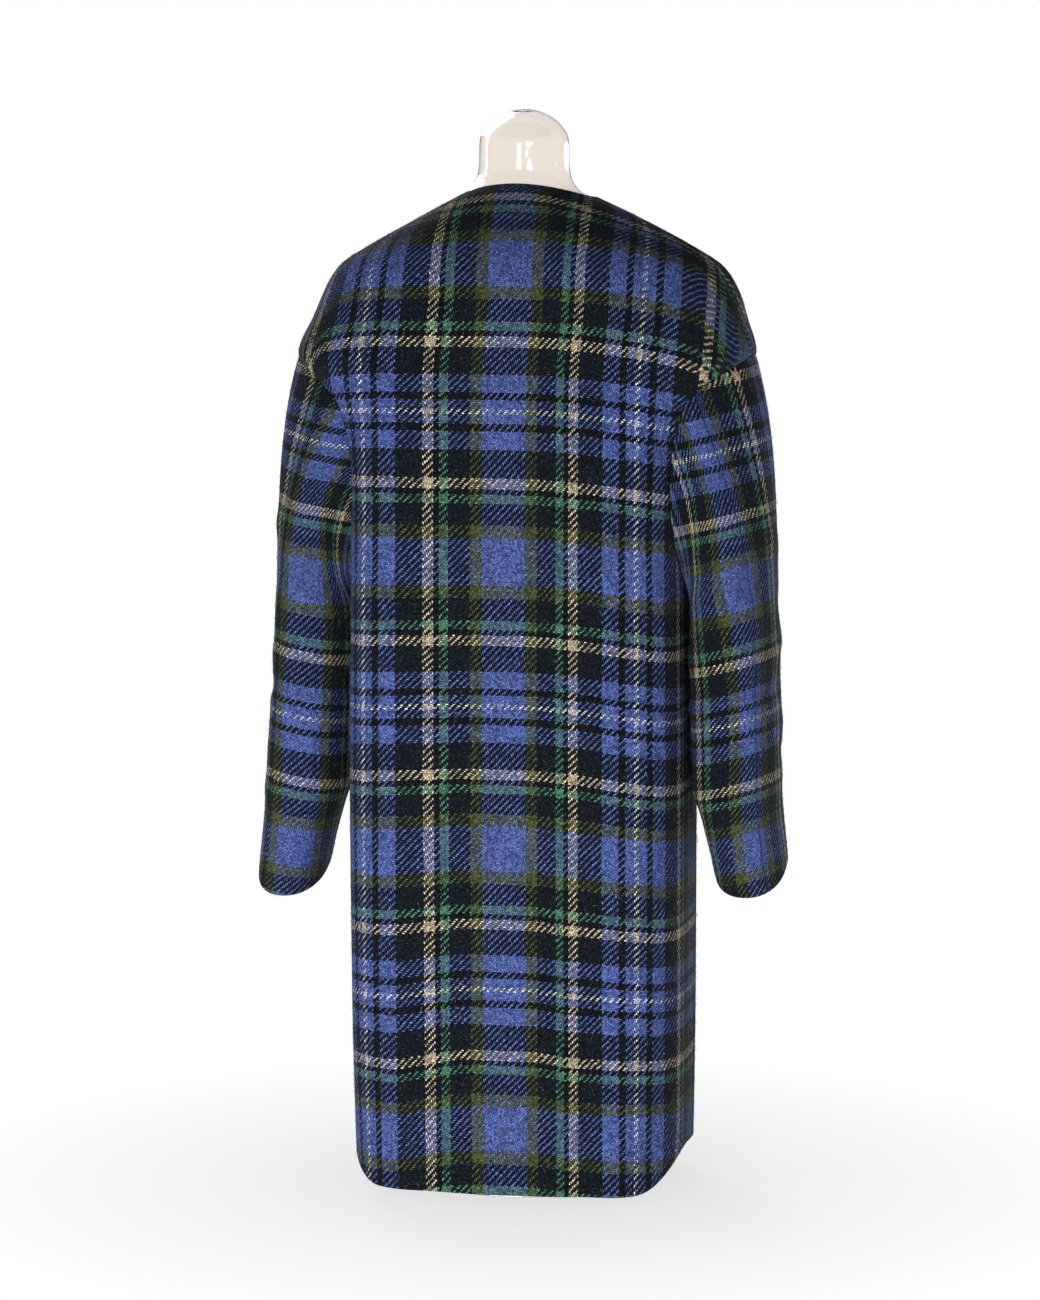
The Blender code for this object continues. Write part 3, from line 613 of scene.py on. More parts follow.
def coat_grids():
    """Each panel's outer side as rows by columns of point, normal and two thread numbers, and its edges:
    bottom, top, first and last column."""
    rows = fine_rows()
    back, back_normals, reach, climb = back_panel(rows)
    front, front_normals, front_reach, front_climb = left_front_panel(rows)
    edges = np.array([edge for edge, _ in rows])
    open_rows = [int(i) for i in np.flatnonzero((edges > UNDERARM - 1e-9) & (edges < DROP_SEAM + 1e-9))]
    down, up = open_rows[::-1], open_rows[1:]
    loop = np.concatenate([back[down, 0], front[up, -1]])
    shares, sleeve = sleeve_grid(loop)
    sleeve_normals = ring_normals(sleeve[:, :-1])
    sleeve_normals = np.concatenate([sleeve_normals, sleeve_normals[:, :1]], axis=1)

    side = [i for i in range(len(rows)) if i not in open_rows[1:-1]]
    shared = unit(back_normals[side, 0] + front_normals[side, -1])
    back_normals[side, 0] = front_normals[side, -1] = shared
    body = np.concatenate([back_normals[down, 0], front_normals[up, -1]])
    shared = unit(body + sleeve_normals[-1])
    sleeve_normals[-1] = shared
    back_normals[down, 0], front_normals[up, -1] = shared[: len(down)], shared[len(down) :]
    front_normals[down[-1], -1] = back_normals[down[-1], 0]
    back_normals[:, -1] = back_normals[:, 0] * MIRROR

    grids = {}
    up_thread = threads_up(climb + drop_of(reach, climb))
    grids["back"] = (join(back, back_normals, threads_across(reach), up_thread), "turned turned sewn sewn")
    for name, end in (("front_right", 0.30), ("front_left", -0.30)):
        hang = drop_of(np.full_like(front_climb, end), front_climb) * smooth(front_reach / 0.25)
        across, up_thread = front_reach / FRONT_THREAD, threads_up(front_climb + hang)
        if name == "front_left":
            under = smooth((TUCK_END - front[:, :, :1]) / (TUCK_END - TUCK_START)) * (CLOTH + OVERLAP_GAP)
            grid = join(front - front_normals * under, front_normals, across, up_thread)
            grids[name] = (grid, "turned turned turned sewn")
        else:
            grid = join(mirrored(front), mirrored(front_normals), -across[:, ::-1], up_thread[:, ::-1])
            grids[name] = (grid, "turned turned sewn turned")
    for grid, _ in grids.values():
        grid[..., :3] += grid[..., 3:6] * body_folds(grid[..., :3])[..., None]

    lowness = np.clip((SLEEVE[0][0] - sleeve[:, :, 2:]) / (SLEEVE[0][0] - SLEEVE[-1][0]), 0, 1) ** 2
    from_top = np.linalg.norm(sleeve - sleeve[-1], axis=2)
    sleeve = sleeve + sleeve_normals * (sleeve_folds(sleeve, smooth(from_top / 0.06)))[..., None]
    behind, before = (int(np.argmin(np.abs(shares - seam))) for seam in (BACK_SLEEVE_SEAM, FRONT_SLEEVE_SEAM))
    around = [*range(before, len(shares)), *range(1, behind + 1)]
    for side, hang in (("left", (CUFF_SWAY, 0, 0)), ("right", (-CUFF_SWAY, 0, RIGHT_SLEEVE_RISE))):
        points = sleeve + lowness * hang
        across, up_thread = sleeve_threads(points, shares, behind, before, side)
        whole = join(points, sleeve_normals, across, up_thread)
        for panel, part in (("under", list(range(behind, before + 1))), ("top", around)):
            grid = whole[:, part]
            if side == "right":
                grid = grid[:, ::-1] * (*MIRROR, *MIRROR, -1, 1)
            grids[f"sleeve_{side}_{panel}"] = (grid, "turned sewn sewn sewn")
    return grids


def join(points, normals, across, up_thread):
    return np.concatenate([points, normals, across[..., None], up_thread[..., None]], axis=-1)


# where the middle of the wide blue runs down each sleeve: height, and share of the way round it from its
# outer line by the back
BLUE_DOWN = {
    "left": ((0.330, 0.283), (0.483, 0.253), (0.606, 0.258), (0.699, 0.227), (0.780, 0.170)),
    "right": ((0.342, 0.162), (0.473, 0.160), (0.604, 0.190), (0.754, 0.145)),
}
SLEEVE_UP = {
    "left": (
        (0.2600, -203.0),
        (0.3272, -163.0),
        (0.3990, -120.0),
        (0.4643, -81.5),
        (0.5260, -43.0),
        (0.6030, 0.0),
        (0.6723, 43.0),
        (0.7400, 81.5),
        (0.8200, 129.0),
    ),
    "right": (
        (0.2700, -203.0),
        (0.3341, -163.0),
        (0.4010, -120.0),
        (0.4660, -81.5),
        (0.5230, -43.0),
        (0.5970, 0.0),
        (0.6650, 43.0),
        (0.7320, 81.5),
        (0.8200, 131.0),
    ),
}
# how much the check drops towards the body, for each length across
SLEEVE_SLANT = {"left": 0.19, "right": 0.25}
SLEEVE_MIDDLE = 0.205  # distance from the coat's middle to the sleeve's
TOP_PANEL_THREAD = {"left": -28.0, "right": -9.0}  # the top panel's thread at its back seam


def sleeve_threads(points, shares, behind, before, side):
    """Thread numbers on a sleeve: the under panel's between its two seams, and the top panel's outside."""
    height = points[:, :, 2]
    step = np.linalg.norm(np.diff(points, axis=1), axis=2)
    around = np.concatenate([np.zeros((len(points), 1)), np.cumsum(step, axis=1)], axis=1)
    heights, places = zip(*BLUE_DOWN[side])
    middle = monotone(heights, places, np.clip(height.mean(axis=1), heights[0], heights[-1]))
    start = np.array([np.interp(m, shares, a) for m, a in zip(middle, around)])
    across = (around - start[:, None]) / THREAD
    out = np.arange(points.shape[1]) < behind
    past = np.arange(points.shape[1]) > before
    to_seam = around - around[:, behind : behind + 1]
    across[:, out] = to_seam[:, out] / THREAD + TOP_PANEL_THREAD[side]
    across[:, past] = (to_seam[:, past] - around[:, -1:]) / THREAD + TOP_PANEL_THREAD[side]
    level = height - SLEEVE_SLANT[side] * (np.abs(points[:, :, 0]) - SLEEVE_MIDDLE)
    heights, numbers = zip(*SLEEVE_UP[side])
    return across, monotone(heights, numbers, np.clip(level, heights[0], heights[-1]))


def with_edge_lines(grid, axis, end, kind):
    """The grid with lines added beside one edge, and how far each line's outer and inner side roll in."""
    grid = np.moveaxis(grid, axis, 0)
    grid = grid[::-1] if end else grid
    step = np.linalg.norm(grid[1, :, :3] - grid[0, :, :3], axis=1)[:, None]
    share = [np.minimum(d / step, 0.85 * d / EDGE_STEPS[-1]) for d in EDGE_STEPS]
    grid = np.concatenate([[grid[0] + (grid[1] - grid[0]) * s for s in share], grid[1:]])
    away = np.array([*EDGE_STEPS, *([1.0] * (len(grid) - len(EDGE_STEPS)))])
    if kind == "turned":
        near = np.clip(1 - away / (CLOTH / 2), 0, 1)
        outer = inner = TURNED * (1 - np.sqrt(1 - near**2))
    else:
        outer, inner = SEWN * (1 - smooth(away / EDGE_STEPS[-1])), np.zeros(len(away))
    if end:
        grid, outer, inner = grid[::-1], outer[::-1], inner[::-1]
    return np.moveaxis(grid, 0, axis), outer, inner


def grid_quads(rows, columns):
    """The numbers of a grid's points, and its four-sided faces."""
    number = np.arange(rows * columns).reshape(rows, columns)
    corners = (number[:-1, :-1], number[:-1, 1:], number[1:, 1:], number[1:, :-1])
    return number, np.stack(corners, axis=-1).reshape(-1, 4)


def wool_panel(name, grid, kinds, gaps, finish):
    """A closed wall of cloth with rolled edges, whose thread numbers lie in its UV map."""
    rolls = []
    for (axis, end), kind in zip(((0, 0), (0, 1), (1, 0), (1, 1)), kinds):
        grid, outer, inner = with_edge_lines(grid, axis, end, kind)
        rolls.append([axis, end, outer, inner])
    rows, columns = grid.shape[:2]
    roll = np.zeros((2, rows, columns))
    for axis, end, *sides in rolls:
        for number, line in enumerate(sides):
            full = np.zeros(grid.shape[axis])
            full[-len(line) :] = line if end else 0
            full[: len(line)] = full[: len(line)] if end else line
            full = full[:, None] if axis == 0 else full[None, :]
            roll[number] = np.maximum(roll[number], full)
    points, normals = grid[..., :3], grid[..., 3:6]
    shift = np.zeros_like(points)
    for edge, inside, gap in ((0, 1, gaps[0]), (-1, -2, gaps[1])):
        way = points[:, inside] - points[:, edge]
        shift[:, edge] = unit(way) * gap
    outer = points + shift - normals * roll[0][..., None]
    inner = points + shift - normals * (CLOTH - roll[1])[..., None]
    place = sway(np.concatenate([outer.reshape(-1, 3), inner.reshape(-1, 3)]))
    number, quads = grid_quads(rows, columns)
    rim = np.concatenate([number[0], number[1:, -1], number[-1, -2::-1], number[-2:0:-1, 0]])
    after = np.roll(rim, -1)
    behind = rows * columns
    rim_faces = np.stack([after, rim, rim + behind, after + behind], axis=1)
    faces = np.concatenate([quads, quads[:, ::-1] + behind, rim_faces])
    threads = np.tile(grid[..., 6:8].reshape(-1, 2), (2, 1))
    return mesh_object(name, place, faces, finish, threads)


def mesh_object(name, points, faces, finish, threads=None):
    mesh = bpy.data.meshes.new(name)
    mesh.from_pydata(np.asarray(points).tolist(), [], [list(map(int, face)) for face in faces])
    if threads is not None:
        layer = mesh.uv_layers.new(name="threads")
        corners = np.empty(len(mesh.loops), int)
        mesh.loops.foreach_get("vertex_index", corners)
        layer.data.foreach_set("uv", np.asarray(threads, float)[corners].ravel())
    mesh.materials.append(finish)
    mesh.shade_smooth()
    made = bpy.data.objects.new(name, mesh)
    bpy.context.scene.collection.objects.link(made)
    return made


# ------------------------------------------------------------------ nodes


def node(tree, kind, values=None, **settings):
    """A node with its settings, and its inputs, by name or number, given values or joined to sockets."""
    made = tree.nodes.new(kind)
    for name, value in settings.items():
        setattr(made, name, value)
    for key, value in (values or {}).items():
        if isinstance(value, bpy.types.NodeSocket):
            tree.links.new(value, made.inputs[key])
        else:
            made.inputs[key].default_value = value
    return made


def calc(tree, operation, *values):
    return node(tree, "ShaderNodeMath", dict(enumerate(values)), operation=operation).outputs[0]


def mix(tree, share, low, high, blend="MIX"):
    """A colour between two, or the two blended in another way."""
    made = node(tree, "ShaderNodeMix", {0: share, 6: low, 7: high}, data_type="RGBA", blend_type=blend)
    return made.outputs[2]


def between(tree, value, low, high, to_low, to_high):
    values = {0: value, 1: low, 2: high, 3: to_low, 4: to_high}
    return node(tree, "ShaderNodeMapRange", values).outputs[0]


def noise(tree, at, scale, detail=2.0, rough=0.5):
    values = {"Vector": at, "Scale": scale, "Detail": detail, "Roughness": rough}
    return node(tree, "ShaderNodeTexNoise", values)


def shader_group(name, inputs, outputs):
    """An empty group with named sockets: pairs of name and kind."""
    tree = bpy.data.node_groups.new(name, "ShaderNodeTree")
    for sockets, way in ((inputs, "INPUT"), (outputs, "OUTPUT")):
        for label, kind in sockets:
            tree.interface.new_socket(label, in_out=way, socket_type="NodeSocket" + kind)
    return tree, tree.nodes.new("NodeGroupInput").outputs, tree.nodes.new("NodeGroupOutput").inputs


def use_group(tree, group, values):
    return node(tree, "ShaderNodeGroup", values, node_tree=group).outputs


def vector(tree, operation, first, second):
    return node(tree, "ShaderNodeVectorMath", {0: first, 1: second}, operation=operation).outputs[0]


def joined(tree, x, y, z):
    return node(tree, "ShaderNodeCombineXYZ", {0: x, 1: y, 2: z}).outputs[0]


def rotated(tree, rotation, by):
    return node(tree, "FunctionNodeRotateRotation", {0: rotation, 1: by}, rotation_space="LOCAL").outputs[0]


def distance(tree, x, y):
    squares = [calc(tree, "MULTIPLY", part, part) for part in (x, y)]
    return calc(tree, "SQRT", calc(tree, "ADD", *squares))


def sett_group():
    """The colour of a thread by its number: the sett, mirrored at the wide blue's middle and at the white."""
    tree, given, out = shader_group("check_sett", [("Thread", "Float")], [("Colour", "Color")])
    middle = calc(tree, "ADD", calc(tree, "FLOOR", given["Thread"]), 0.5)
    place = calc(tree, "DIVIDE", calc(tree, "PINGPONG", middle, HALF_SETT), HALF_SETT)
    ramp = node(tree, "ShaderNodeValToRGB", {0: place})
    ramp.color_ramp.interpolation = "CONSTANT"
    stops = ramp.color_ramp.elements
    start = 0.0
    for number, (colour, last) in enumerate(SETT):
        stop = stops[number] if number < 2 else stops.new(start / HALF_SETT)
        stop.position = start / HALF_SETT
        stop.color = (*YARN[colour], 1)
        start = last
    tree.links.new(ramp.outputs[0], out["Colour"])
    return tree


def twill_group():
    """A two-over, two-under twill of hairy yarns: each thread's colour where it is on top, and its height."""
    sockets = [("Threads", "Vector"), ("Wander", "Float"), ("Flecks", "Float")]
    tree, given, out = shader_group("boucle_twill", sockets, [("Colour", "Color"), ("Height", "Float")])
    at = given["Threads"]
    for scale, share in ((0.30, 1.0), (1.6, 0.45)):
        shift = noise(tree, given["Threads"], scale, 2.0).outputs["Color"]
        centred = vector(tree, "SUBTRACT", shift, (0.5, 0.5, 0.5))
        far = calc(tree, "MULTIPLY", given["Wander"], share)
        moved = node(tree, "ShaderNodeVectorMath", {0: centred, "Scale": far}, operation="SCALE").outputs[0]
        at = vector(tree, "ADD", at, moved)
    split = node(tree, "ShaderNodeSeparateXYZ", {0: at}).outputs
    across, up = split[0], split[1]
    warp, weft = calc(tree, "FLOOR", across), calc(tree, "FLOOR", up)
    turn = calc(tree, "FLOORED_MODULO", calc(tree, "SUBTRACT", warp, weft), 4.0)
    warp_on_top = calc(tree, "LESS_THAN", turn, 1.5)
    weft_on_top = calc(tree, "SUBTRACT", 1.0, warp_on_top)

    def either(of_warp, of_weft):
        left = calc(tree, "MULTIPLY", of_warp, warp_on_top)
        return calc(tree, "MULTIPLY_ADD", of_weft, weft_on_top, left)

    warp_place = calc(tree, "ADD", calc(tree, "SUBTRACT", up, warp), 1.0)
    weft_place = calc(tree, "SUBTRACT", calc(tree, "SUBTRACT", across, weft), 2.0)
    warp_along = calc(tree, "DIVIDE", calc(tree, "FLOORED_MODULO", warp_place, 4.0), 2.0)
    weft_along = calc(tree, "DIVIDE", calc(tree, "FLOORED_MODULO", weft_place, 4.0), 2.0)
    along = either(warp_along, weft_along)
    side = either(calc(tree, "FRACT", across), calc(tree, "FRACT", up))
    arch = calc(tree, "SINE", calc(tree, "MULTIPLY", along, math.pi))
    barrel = calc(tree, "SINE", calc(tree, "MULTIPLY", side, math.pi))
    arch = calc(tree, "POWER", calc(tree, "MAXIMUM", arch, 0.0), 0.7)
    barrel = calc(tree, "POWER", calc(tree, "MAXIMUM", barrel, 0.0), 0.6)
    hair = noise(tree, given["Threads"], 2.3, 4.0, 0.65).outputs["Fac"]
    tufts = noise(tree, given["Threads"], 0.75, 2.5, 0.6).outputs["Fac"]
    height = calc(tree, "MULTIPLY", arch, barrel)

    warp_float = calc(tree, "FLOOR", calc(tree, "DIVIDE", warp_place, 4.0))
    weft_float = calc(tree, "FLOOR", calc(tree, "DIVIDE", weft_place, 4.0))
    names = joined(tree, either(warp, weft_float), either(warp_float, weft), warp_on_top)
    own = node(tree, "ShaderNodeTexWhiteNoise", {"Vector": names}, noise_dimensions="3D").outputs["Value"]

    setts = sett_group()
    of_weft = use_group(tree, setts, {"Thread": up})["Colour"]
    of_warp = use_group(tree, setts, {"Thread": across})["Colour"]
    colour = mix(tree, warp_on_top, of_weft, of_warp)
    darker = mix(tree, 1.0, of_weft, of_warp, "DARKEN")
    clear_of_edge = between(tree, calc(tree, "MULTIPLY_ADD", tufts, 1.3, height), 0.95, 1.40, 0.0, 1.0)
    colour = mix(tree, clear_of_edge, darker, colour)
    # painted shade: the yarn's colour is darkened where a thread dips at the ends and sides of its float, in
    # place of the shade down in the weave; shade also carries the random tone of each float, of the hair and
    # of the tufts
    painted_dip_shade = between(tree, height, 0.0, 0.9, 0.28, 1.12)
    shade = calc(tree, "MULTIPLY", painted_dip_shade, between(tree, own, 0.0, 1.0, 0.50, 1.50))
    shade = calc(tree, "MULTIPLY", shade, between(tree, hair, 0.3, 0.7, 0.30, 1.75))
    shade = calc(tree, "MULTIPLY", shade, between(tree, tufts, 0.32, 0.68, 0.40, 1.60))
    grey = node(tree, "ShaderNodeCombineColor", {0: shade, 1: shade, 2: shade}).outputs[0]
    colour = mix(tree, 1.0, colour, grey, "MULTIPLY")

    pale = noise(tree, given["Threads"], 0.95, 5.0, 0.75).outputs["Fac"]
    pale = calc(tree, "MULTIPLY", between(tree, pale, 0.585, 0.70, 0.0, 0.75), given["Flecks"])
    brighter = mix(tree, 0.5, mix(tree, 1.0, colour, (3.2, 3.1, 2.9, 1), "MULTIPLY"), (0.30, 0.32, 0.36, 1))
    colour = mix(tree, pale, colour, brighter)
    moved = vector(tree, "ADD", given["Threads"], (37.0, 11.0, 5.0))
    red = noise(tree, moved, 0.33, 3.0, 0.6).outputs["Fac"]
    red = between(tree, red, 0.735, 0.775, 0.0, 0.55)
    red = calc(tree, "MULTIPLY", red, calc(tree, "MULTIPLY", hair, 1.6))
    colour = mix(tree, calc(tree, "MINIMUM", red, 0.8), colour, (0.42, 0.07, 0.10, 1))
    tree.links.new(colour, out["Colour"])
    tree.links.new(calc(tree, "MULTIPLY_ADD", hair, 0.45, height), out["Height"])
    return tree


def finish_of(name, **constants):
    """A new material with its Principled shader, whose plain sockets are set."""
    made = bpy.data.materials.new(name)
    made.use_nodes = True
    tree = made.node_tree
    shader = tree.nodes["Principled BSDF"]
    for key, value in constants.items():
        shader.inputs[key.replace("_", " ")].default_value = value
    return made, tree, shader


def wool_finish(twill):
    made, tree, shader = finish_of("checked_wool", Sheen_Weight=0.03, Sheen_Roughness=0.45)
    shader.inputs["Sheen Tint"].default_value = (0.55, 0.62, 0.75, 1)
    shader.inputs["Specular IOR Level"].default_value = 0.08
    threads = node(tree, "ShaderNodeUVMap", uv_map="threads").outputs[0]
    cloth = use_group(tree, twill, {"Threads": threads, "Wander": 1.10, "Flecks": 0.90})
    tree.links.new(cloth["Colour"], shader.inputs["Base Color"])
    tree.links.new(between(tree, cloth["Height"], 0.0, 1.4, 0.97, 0.80), shader.inputs["Roughness"])
    bump = node(tree, "ShaderNodeBump", {"Strength": 0.75, "Distance": 0.0009, "Height": cloth["Height"]})
    tree.links.new(bump.outputs[0], shader.inputs["Normal"])
    return made


def fibre_finish(twill):
    """Loose fibres take the colour of the thread that they stand on, a little paler."""
    made, tree, shader = finish_of("loose_fibre", Sheen_Weight=0.3, Roughness=0.9)
    threads = node(tree, "ShaderNodeUVMap", uv_map="threads").outputs[0]
    cloth = use_group(tree, twill, {"Threads": threads, "Wander": 0.0, "Flecks": 0.0})
    object_at = node(tree, "ShaderNodeTexCoord").outputs["Object"]
    tone = noise(tree, object_at, 900.0, 1.0).outputs["Fac"]
    paler = mix(tree, between(tree, tone, 0.35, 0.7, 0.05, 0.55), cloth["Colour"], (0.20, 0.23, 0.32, 1))
    tree.links.new(paler, shader.inputs["Base Color"])
    return made


def clear_finish():
    made, tree, shader = finish_of("clear_form", Transmission_Weight=1.0, IOR=1.46)
    at = node(tree, "ShaderNodeTexCoord").outputs["Object"]
    film = noise(tree, at, 22.0, 4.0, 0.6).outputs["Fac"]
    tint = mix(tree, film, (0.945, 0.905, 0.860, 1), (0.915, 0.865, 0.805, 1))
    tree.links.new(tint, shader.inputs["Base Color"])
    tree.links.new(between(tree, film, 0.35, 0.75, 0.03, 0.09), shader.inputs["Roughness"])
    ripple = noise(tree, at, 14.0, 1.0).outputs["Fac"]
    bump = node(tree, "ShaderNodeBump", {"Strength": 0.25, "Distance": 0.002, "Height": ripple})
    tree.links.new(bump.outputs[0], shader.inputs["Normal"])
    return made


def horn_finish():
    """Dark polished horn, streaked, with scuffs that dull its gloss here and there."""
    made, tree, shader = finish_of("dark_horn", Coat_Weight=0.25, Coat_Roughness=0.12)
    at = node(tree, "ShaderNodeTexCoord").outputs["Object"]
    drawn_out = node(tree, "ShaderNodeMapping", {"Vector": at, "Scale": (1.0, 1.0, 0.35)}).outputs[0]
    streak = noise(tree, drawn_out, 190.0, 5.0, 0.62).outputs["Fac"]
    streak = between(tree, streak, 0.35, 0.7, 0.0, 1.0)
    colour = mix(tree, streak, (0.010, 0.012, 0.020, 1), (0.055, 0.050, 0.055, 1))
    scuffs = noise(tree, at, 1300.0, 3.0).outputs["Fac"]
    tree.links.new(colour, shader.inputs["Base Color"])
    tree.links.new(between(tree, scuffs, 0.3, 0.75, 0.22, 0.48), shader.inputs["Roughness"])
    bump = node(tree, "ShaderNodeBump", {"Strength": 0.25, "Distance": 0.0002, "Height": scuffs})
    tree.links.new(bump.outputs[0], shader.inputs["Normal"])
    return made


def steel_finish():
    """Brushed steel, its fine lines running round the upright axis, with faint handling marks."""
    made, tree, shader = finish_of("brushed_steel", Metallic=1.0)
    at = node(tree, "ShaderNodeTexCoord").outputs["Object"]
    x, y, z = node(tree, "ShaderNodeSeparateXYZ", {0: at}).outputs
    radius = distance(tree, x, y)
    lines_at = node(tree, "ShaderNodeCombineXYZ", {0: radius, 1: z, 2: 0.0}).outputs[0]
    lines = noise(tree, lines_at, 1500.0, 3.0, 0.7).outputs["Fac"]
    marks = noise(tree, at, 28.0, 5.0, 0.6).outputs["Fac"]
    colour = mix(tree, lines, (0.46, 0.46, 0.48, 1), (0.66, 0.66, 0.67, 1))
    tree.links.new(colour, shader.inputs["Base Color"])
    rough = calc(tree, "MULTIPLY_ADD", lines, 0.18, between(tree, marks, 0.35, 0.7, 0.18, 0.34))
    tree.links.new(rough, shader.inputs["Roughness"])
    bump = node(tree, "ShaderNodeBump", {"Strength": 0.2, "Distance": 0.0001, "Height": lines})
    tree.links.new(bump.outputs[0], shader.inputs["Normal"])
    return made


def thread_finish():
    made, tree, shader = finish_of("sewing_thread", Sheen_Weight=0.2, Roughness=0.7)
    at = node(tree, "ShaderNodeTexCoord").outputs["Object"]
    ply = noise(tree, at, 2600.0, 2.0).outputs["Fac"]
    colour = mix(tree, ply, (0.010, 0.014, 0.030, 1), (0.040, 0.048, 0.085, 1))
    tree.links.new(colour, shader.inputs["Base Color"])
    bump = node(tree, "ShaderNodeBump", {"Strength": 0.5, "Distance": 0.0002, "Height": ply})
    tree.links.new(bump.outputs[0], shader.inputs["Normal"])
    return made


# ------------------------------------------------------------------ shapes that follow a path or a surface


def shape_tree(name, inputs):
    """An empty tree for shapes, with its inputs by name: kind and value."""
    tree = bpy.data.node_groups.new(name, "GeometryNodeTree")
    tree.interface.new_socket("Geometry", in_out="INPUT", socket_type="NodeSocketGeometry")
    for label, (kind, value) in inputs.items():
        made = tree.interface.new_socket(label, in_out="INPUT", socket_type="NodeSocket" + kind)
        if value is not None:
            made.default_value = value
    tree.interface.new_socket("Geometry", in_out="OUTPUT", socket_type="NodeSocketGeometry")
    return tree, tree.nodes.new("NodeGroupInput").outputs


def end_tree(tree, shape, given):
    real = node(tree, "GeometryNodeRealizeInstances", {0: shape}).outputs[0]
    named = node(tree, "GeometryNodeSetMaterial", {0: real, "Material": given["Material"]}).outputs[0]
    tree.links.new(named, tree.nodes.new("NodeGroupOutput").inputs[0])
    return tree


def thread_tree():
    """A round thread along every path of edges."""
    sizes = {"Thickness": ("Float", 0.0005), "Material": ("Material", None)}
    tree, given = shape_tree("thread_along_path", sizes)
    path = node(tree, "GeometryNodeMeshToCurve", {0: given["Geometry"]}).outputs[0]
    half = calc(tree, "DIVIDE", given["Thickness"], 2.0)
    round_shape = node(tree, "GeometryNodeCurvePrimitiveCircle", {"Resolution": 6, "Radius": half}).outputs[0]
    made = node(tree, "GeometryNodeCurveToMesh", {0: path, 1: round_shape, "Fill Caps": True}).outputs[0]
    return end_tree(tree, made, given)


def overcast_tree():
    """Short stitches side by side across a path, each a little out of line, as round a worked buttonhole."""
    sizes = {
        "Spacing": ("Float", 0.0007),
        "Length": ("Float", 0.0022),
        "Thickness": ("Float", 0.0006),
        "Unevenness": ("Float", 0.16),
        "Seed": ("Int", 4),
        "Material": ("Material", None),
    }
    tree, given = shape_tree("stitches_over_path", sizes)
    path = node(tree, "GeometryNodeMeshToCurve", {0: given["Geometry"]}).outputs[0]
    points = node(tree, "GeometryNodeCurveToPoints", {0: path, "Length": given["Spacing"]}, mode="LENGTH")
    half = calc(tree, "DIVIDE", given["Length"], 2.0)
    low = calc(tree, "MULTIPLY", half, -1.0)
    ends = [joined(tree, x, 0.0, 0.0) for x in (low, half)]
    high = joined(tree, 0.0, 0.0, calc(tree, "MULTIPLY", half, 0.75))
    bent = {"Resolution": 4, "Start": ends[0], "Middle": high, "End": ends[1]}
    arc = node(tree, "GeometryNodeCurveQuadraticBezier", bent).outputs[0]
    thick = calc(tree, "DIVIDE", given["Thickness"], 2.0)
    section = node(tree, "GeometryNodeCurvePrimitiveCircle", {"Resolution": 5, "Radius": thick}).outputs[0]
    stitch = node(tree, "GeometryNodeCurveToMesh", {0: arc, 1: section, "Fill Caps": True}).outputs[0]
    along = node(tree, "FunctionNodeAlignRotationToVector", {2: points.outputs["Tangent"]}, axis="Y")
    jitter = node(tree, "FunctionNodeRandomValue", {"ID": node(tree, "GeometryNodeInputIndex").outputs[0]})
    jitter.data_type = "FLOAT"
    jitter.inputs[2].default_value, jitter.inputs[3].default_value = -1.0, 1.0
    tree.links.new(given["Seed"], jitter.inputs["Seed"])
    slant = calc(tree, "MULTIPLY", jitter.outputs[1], given["Unevenness"])
    turned = rotated(tree, along.outputs[0], joined(tree, 0.0, 0.0, slant))
    places = {0: points.outputs[0], "Instance": stitch, "Rotation": turned}
    placed = node(tree, "GeometryNodeInstanceOnPoints", places)
    return end_tree(tree, placed.outputs[0], given)


def fibre_tree():
    """Loose wool fibres that stand up from the cloth, each a small bent hair."""
    sizes = {
        "Density": ("Float", 20000.0),
        "Length": ("Float", 0.0045),
        "Rise": ("Float", 0.0016),
        "Thickness": ("Float", 0.00022),
        "Seed": ("Int", 7),
        "Material": ("Material", None),
    }
    tree, given = shape_tree("loose_fibres", sizes)
    ground = {0: given["Geometry"], "Density": given["Density"], "Seed": given["Seed"]}
    spread = node(tree, "GeometryNodeDistributePointsOnFaces", ground)
    half = calc(tree, "DIVIDE", given["Length"], 2.0)
    middle = joined(tree, half, calc(tree, "MULTIPLY", half, 0.4), given["Rise"])
    end = joined(tree, given["Length"], 0.0, calc(tree, "MULTIPLY", given["Rise"], 0.4))
    bent = {"Resolution": 2, "Start": (0.0, 0.0, -0.0004), "Middle": middle, "End": end}
    hair = node(tree, "GeometryNodeCurveQuadraticBezier", bent).outputs[0]
    thick = calc(tree, "DIVIDE", given["Thickness"], 2.0)
    section = node(tree, "GeometryNodeCurvePrimitiveCircle", {"Resolution": 3, "Radius": thick}).outputs[0]
    hair = node(tree, "GeometryNodeCurveToMesh", {0: hair, 1: section}).outputs[0]
    normal = spread.outputs["Normal"]
    standing = node(tree, "FunctionNodeAlignRotationToVector", {2: normal}, axis="Z").outputs[0]
    index = node(tree, "GeometryNodeInputIndex").outputs[0]
    spin = node(tree, "FunctionNodeRandomValue", {"ID": index, "Seed": given["Seed"]}, data_type="FLOAT")
    spin.inputs[3].default_value = 2 * math.pi
    turned = rotated(tree, standing, joined(tree, 0.0, 0.0, spin.outputs[1]))
    size = node(tree, "FunctionNodeRandomValue", {"ID": index, "Seed": 3}, data_type="FLOAT")
    size.inputs[2].default_value, size.inputs[3].default_value = 0.45, 1.25
    places = {0: spread.outputs[0], "Instance": hair, "Rotation": turned, "Scale": size.outputs[1]}
    placed = node(tree, "GeometryNodeInstanceOnPoints", places)
    return end_tree(tree, placed.outputs[0], given)


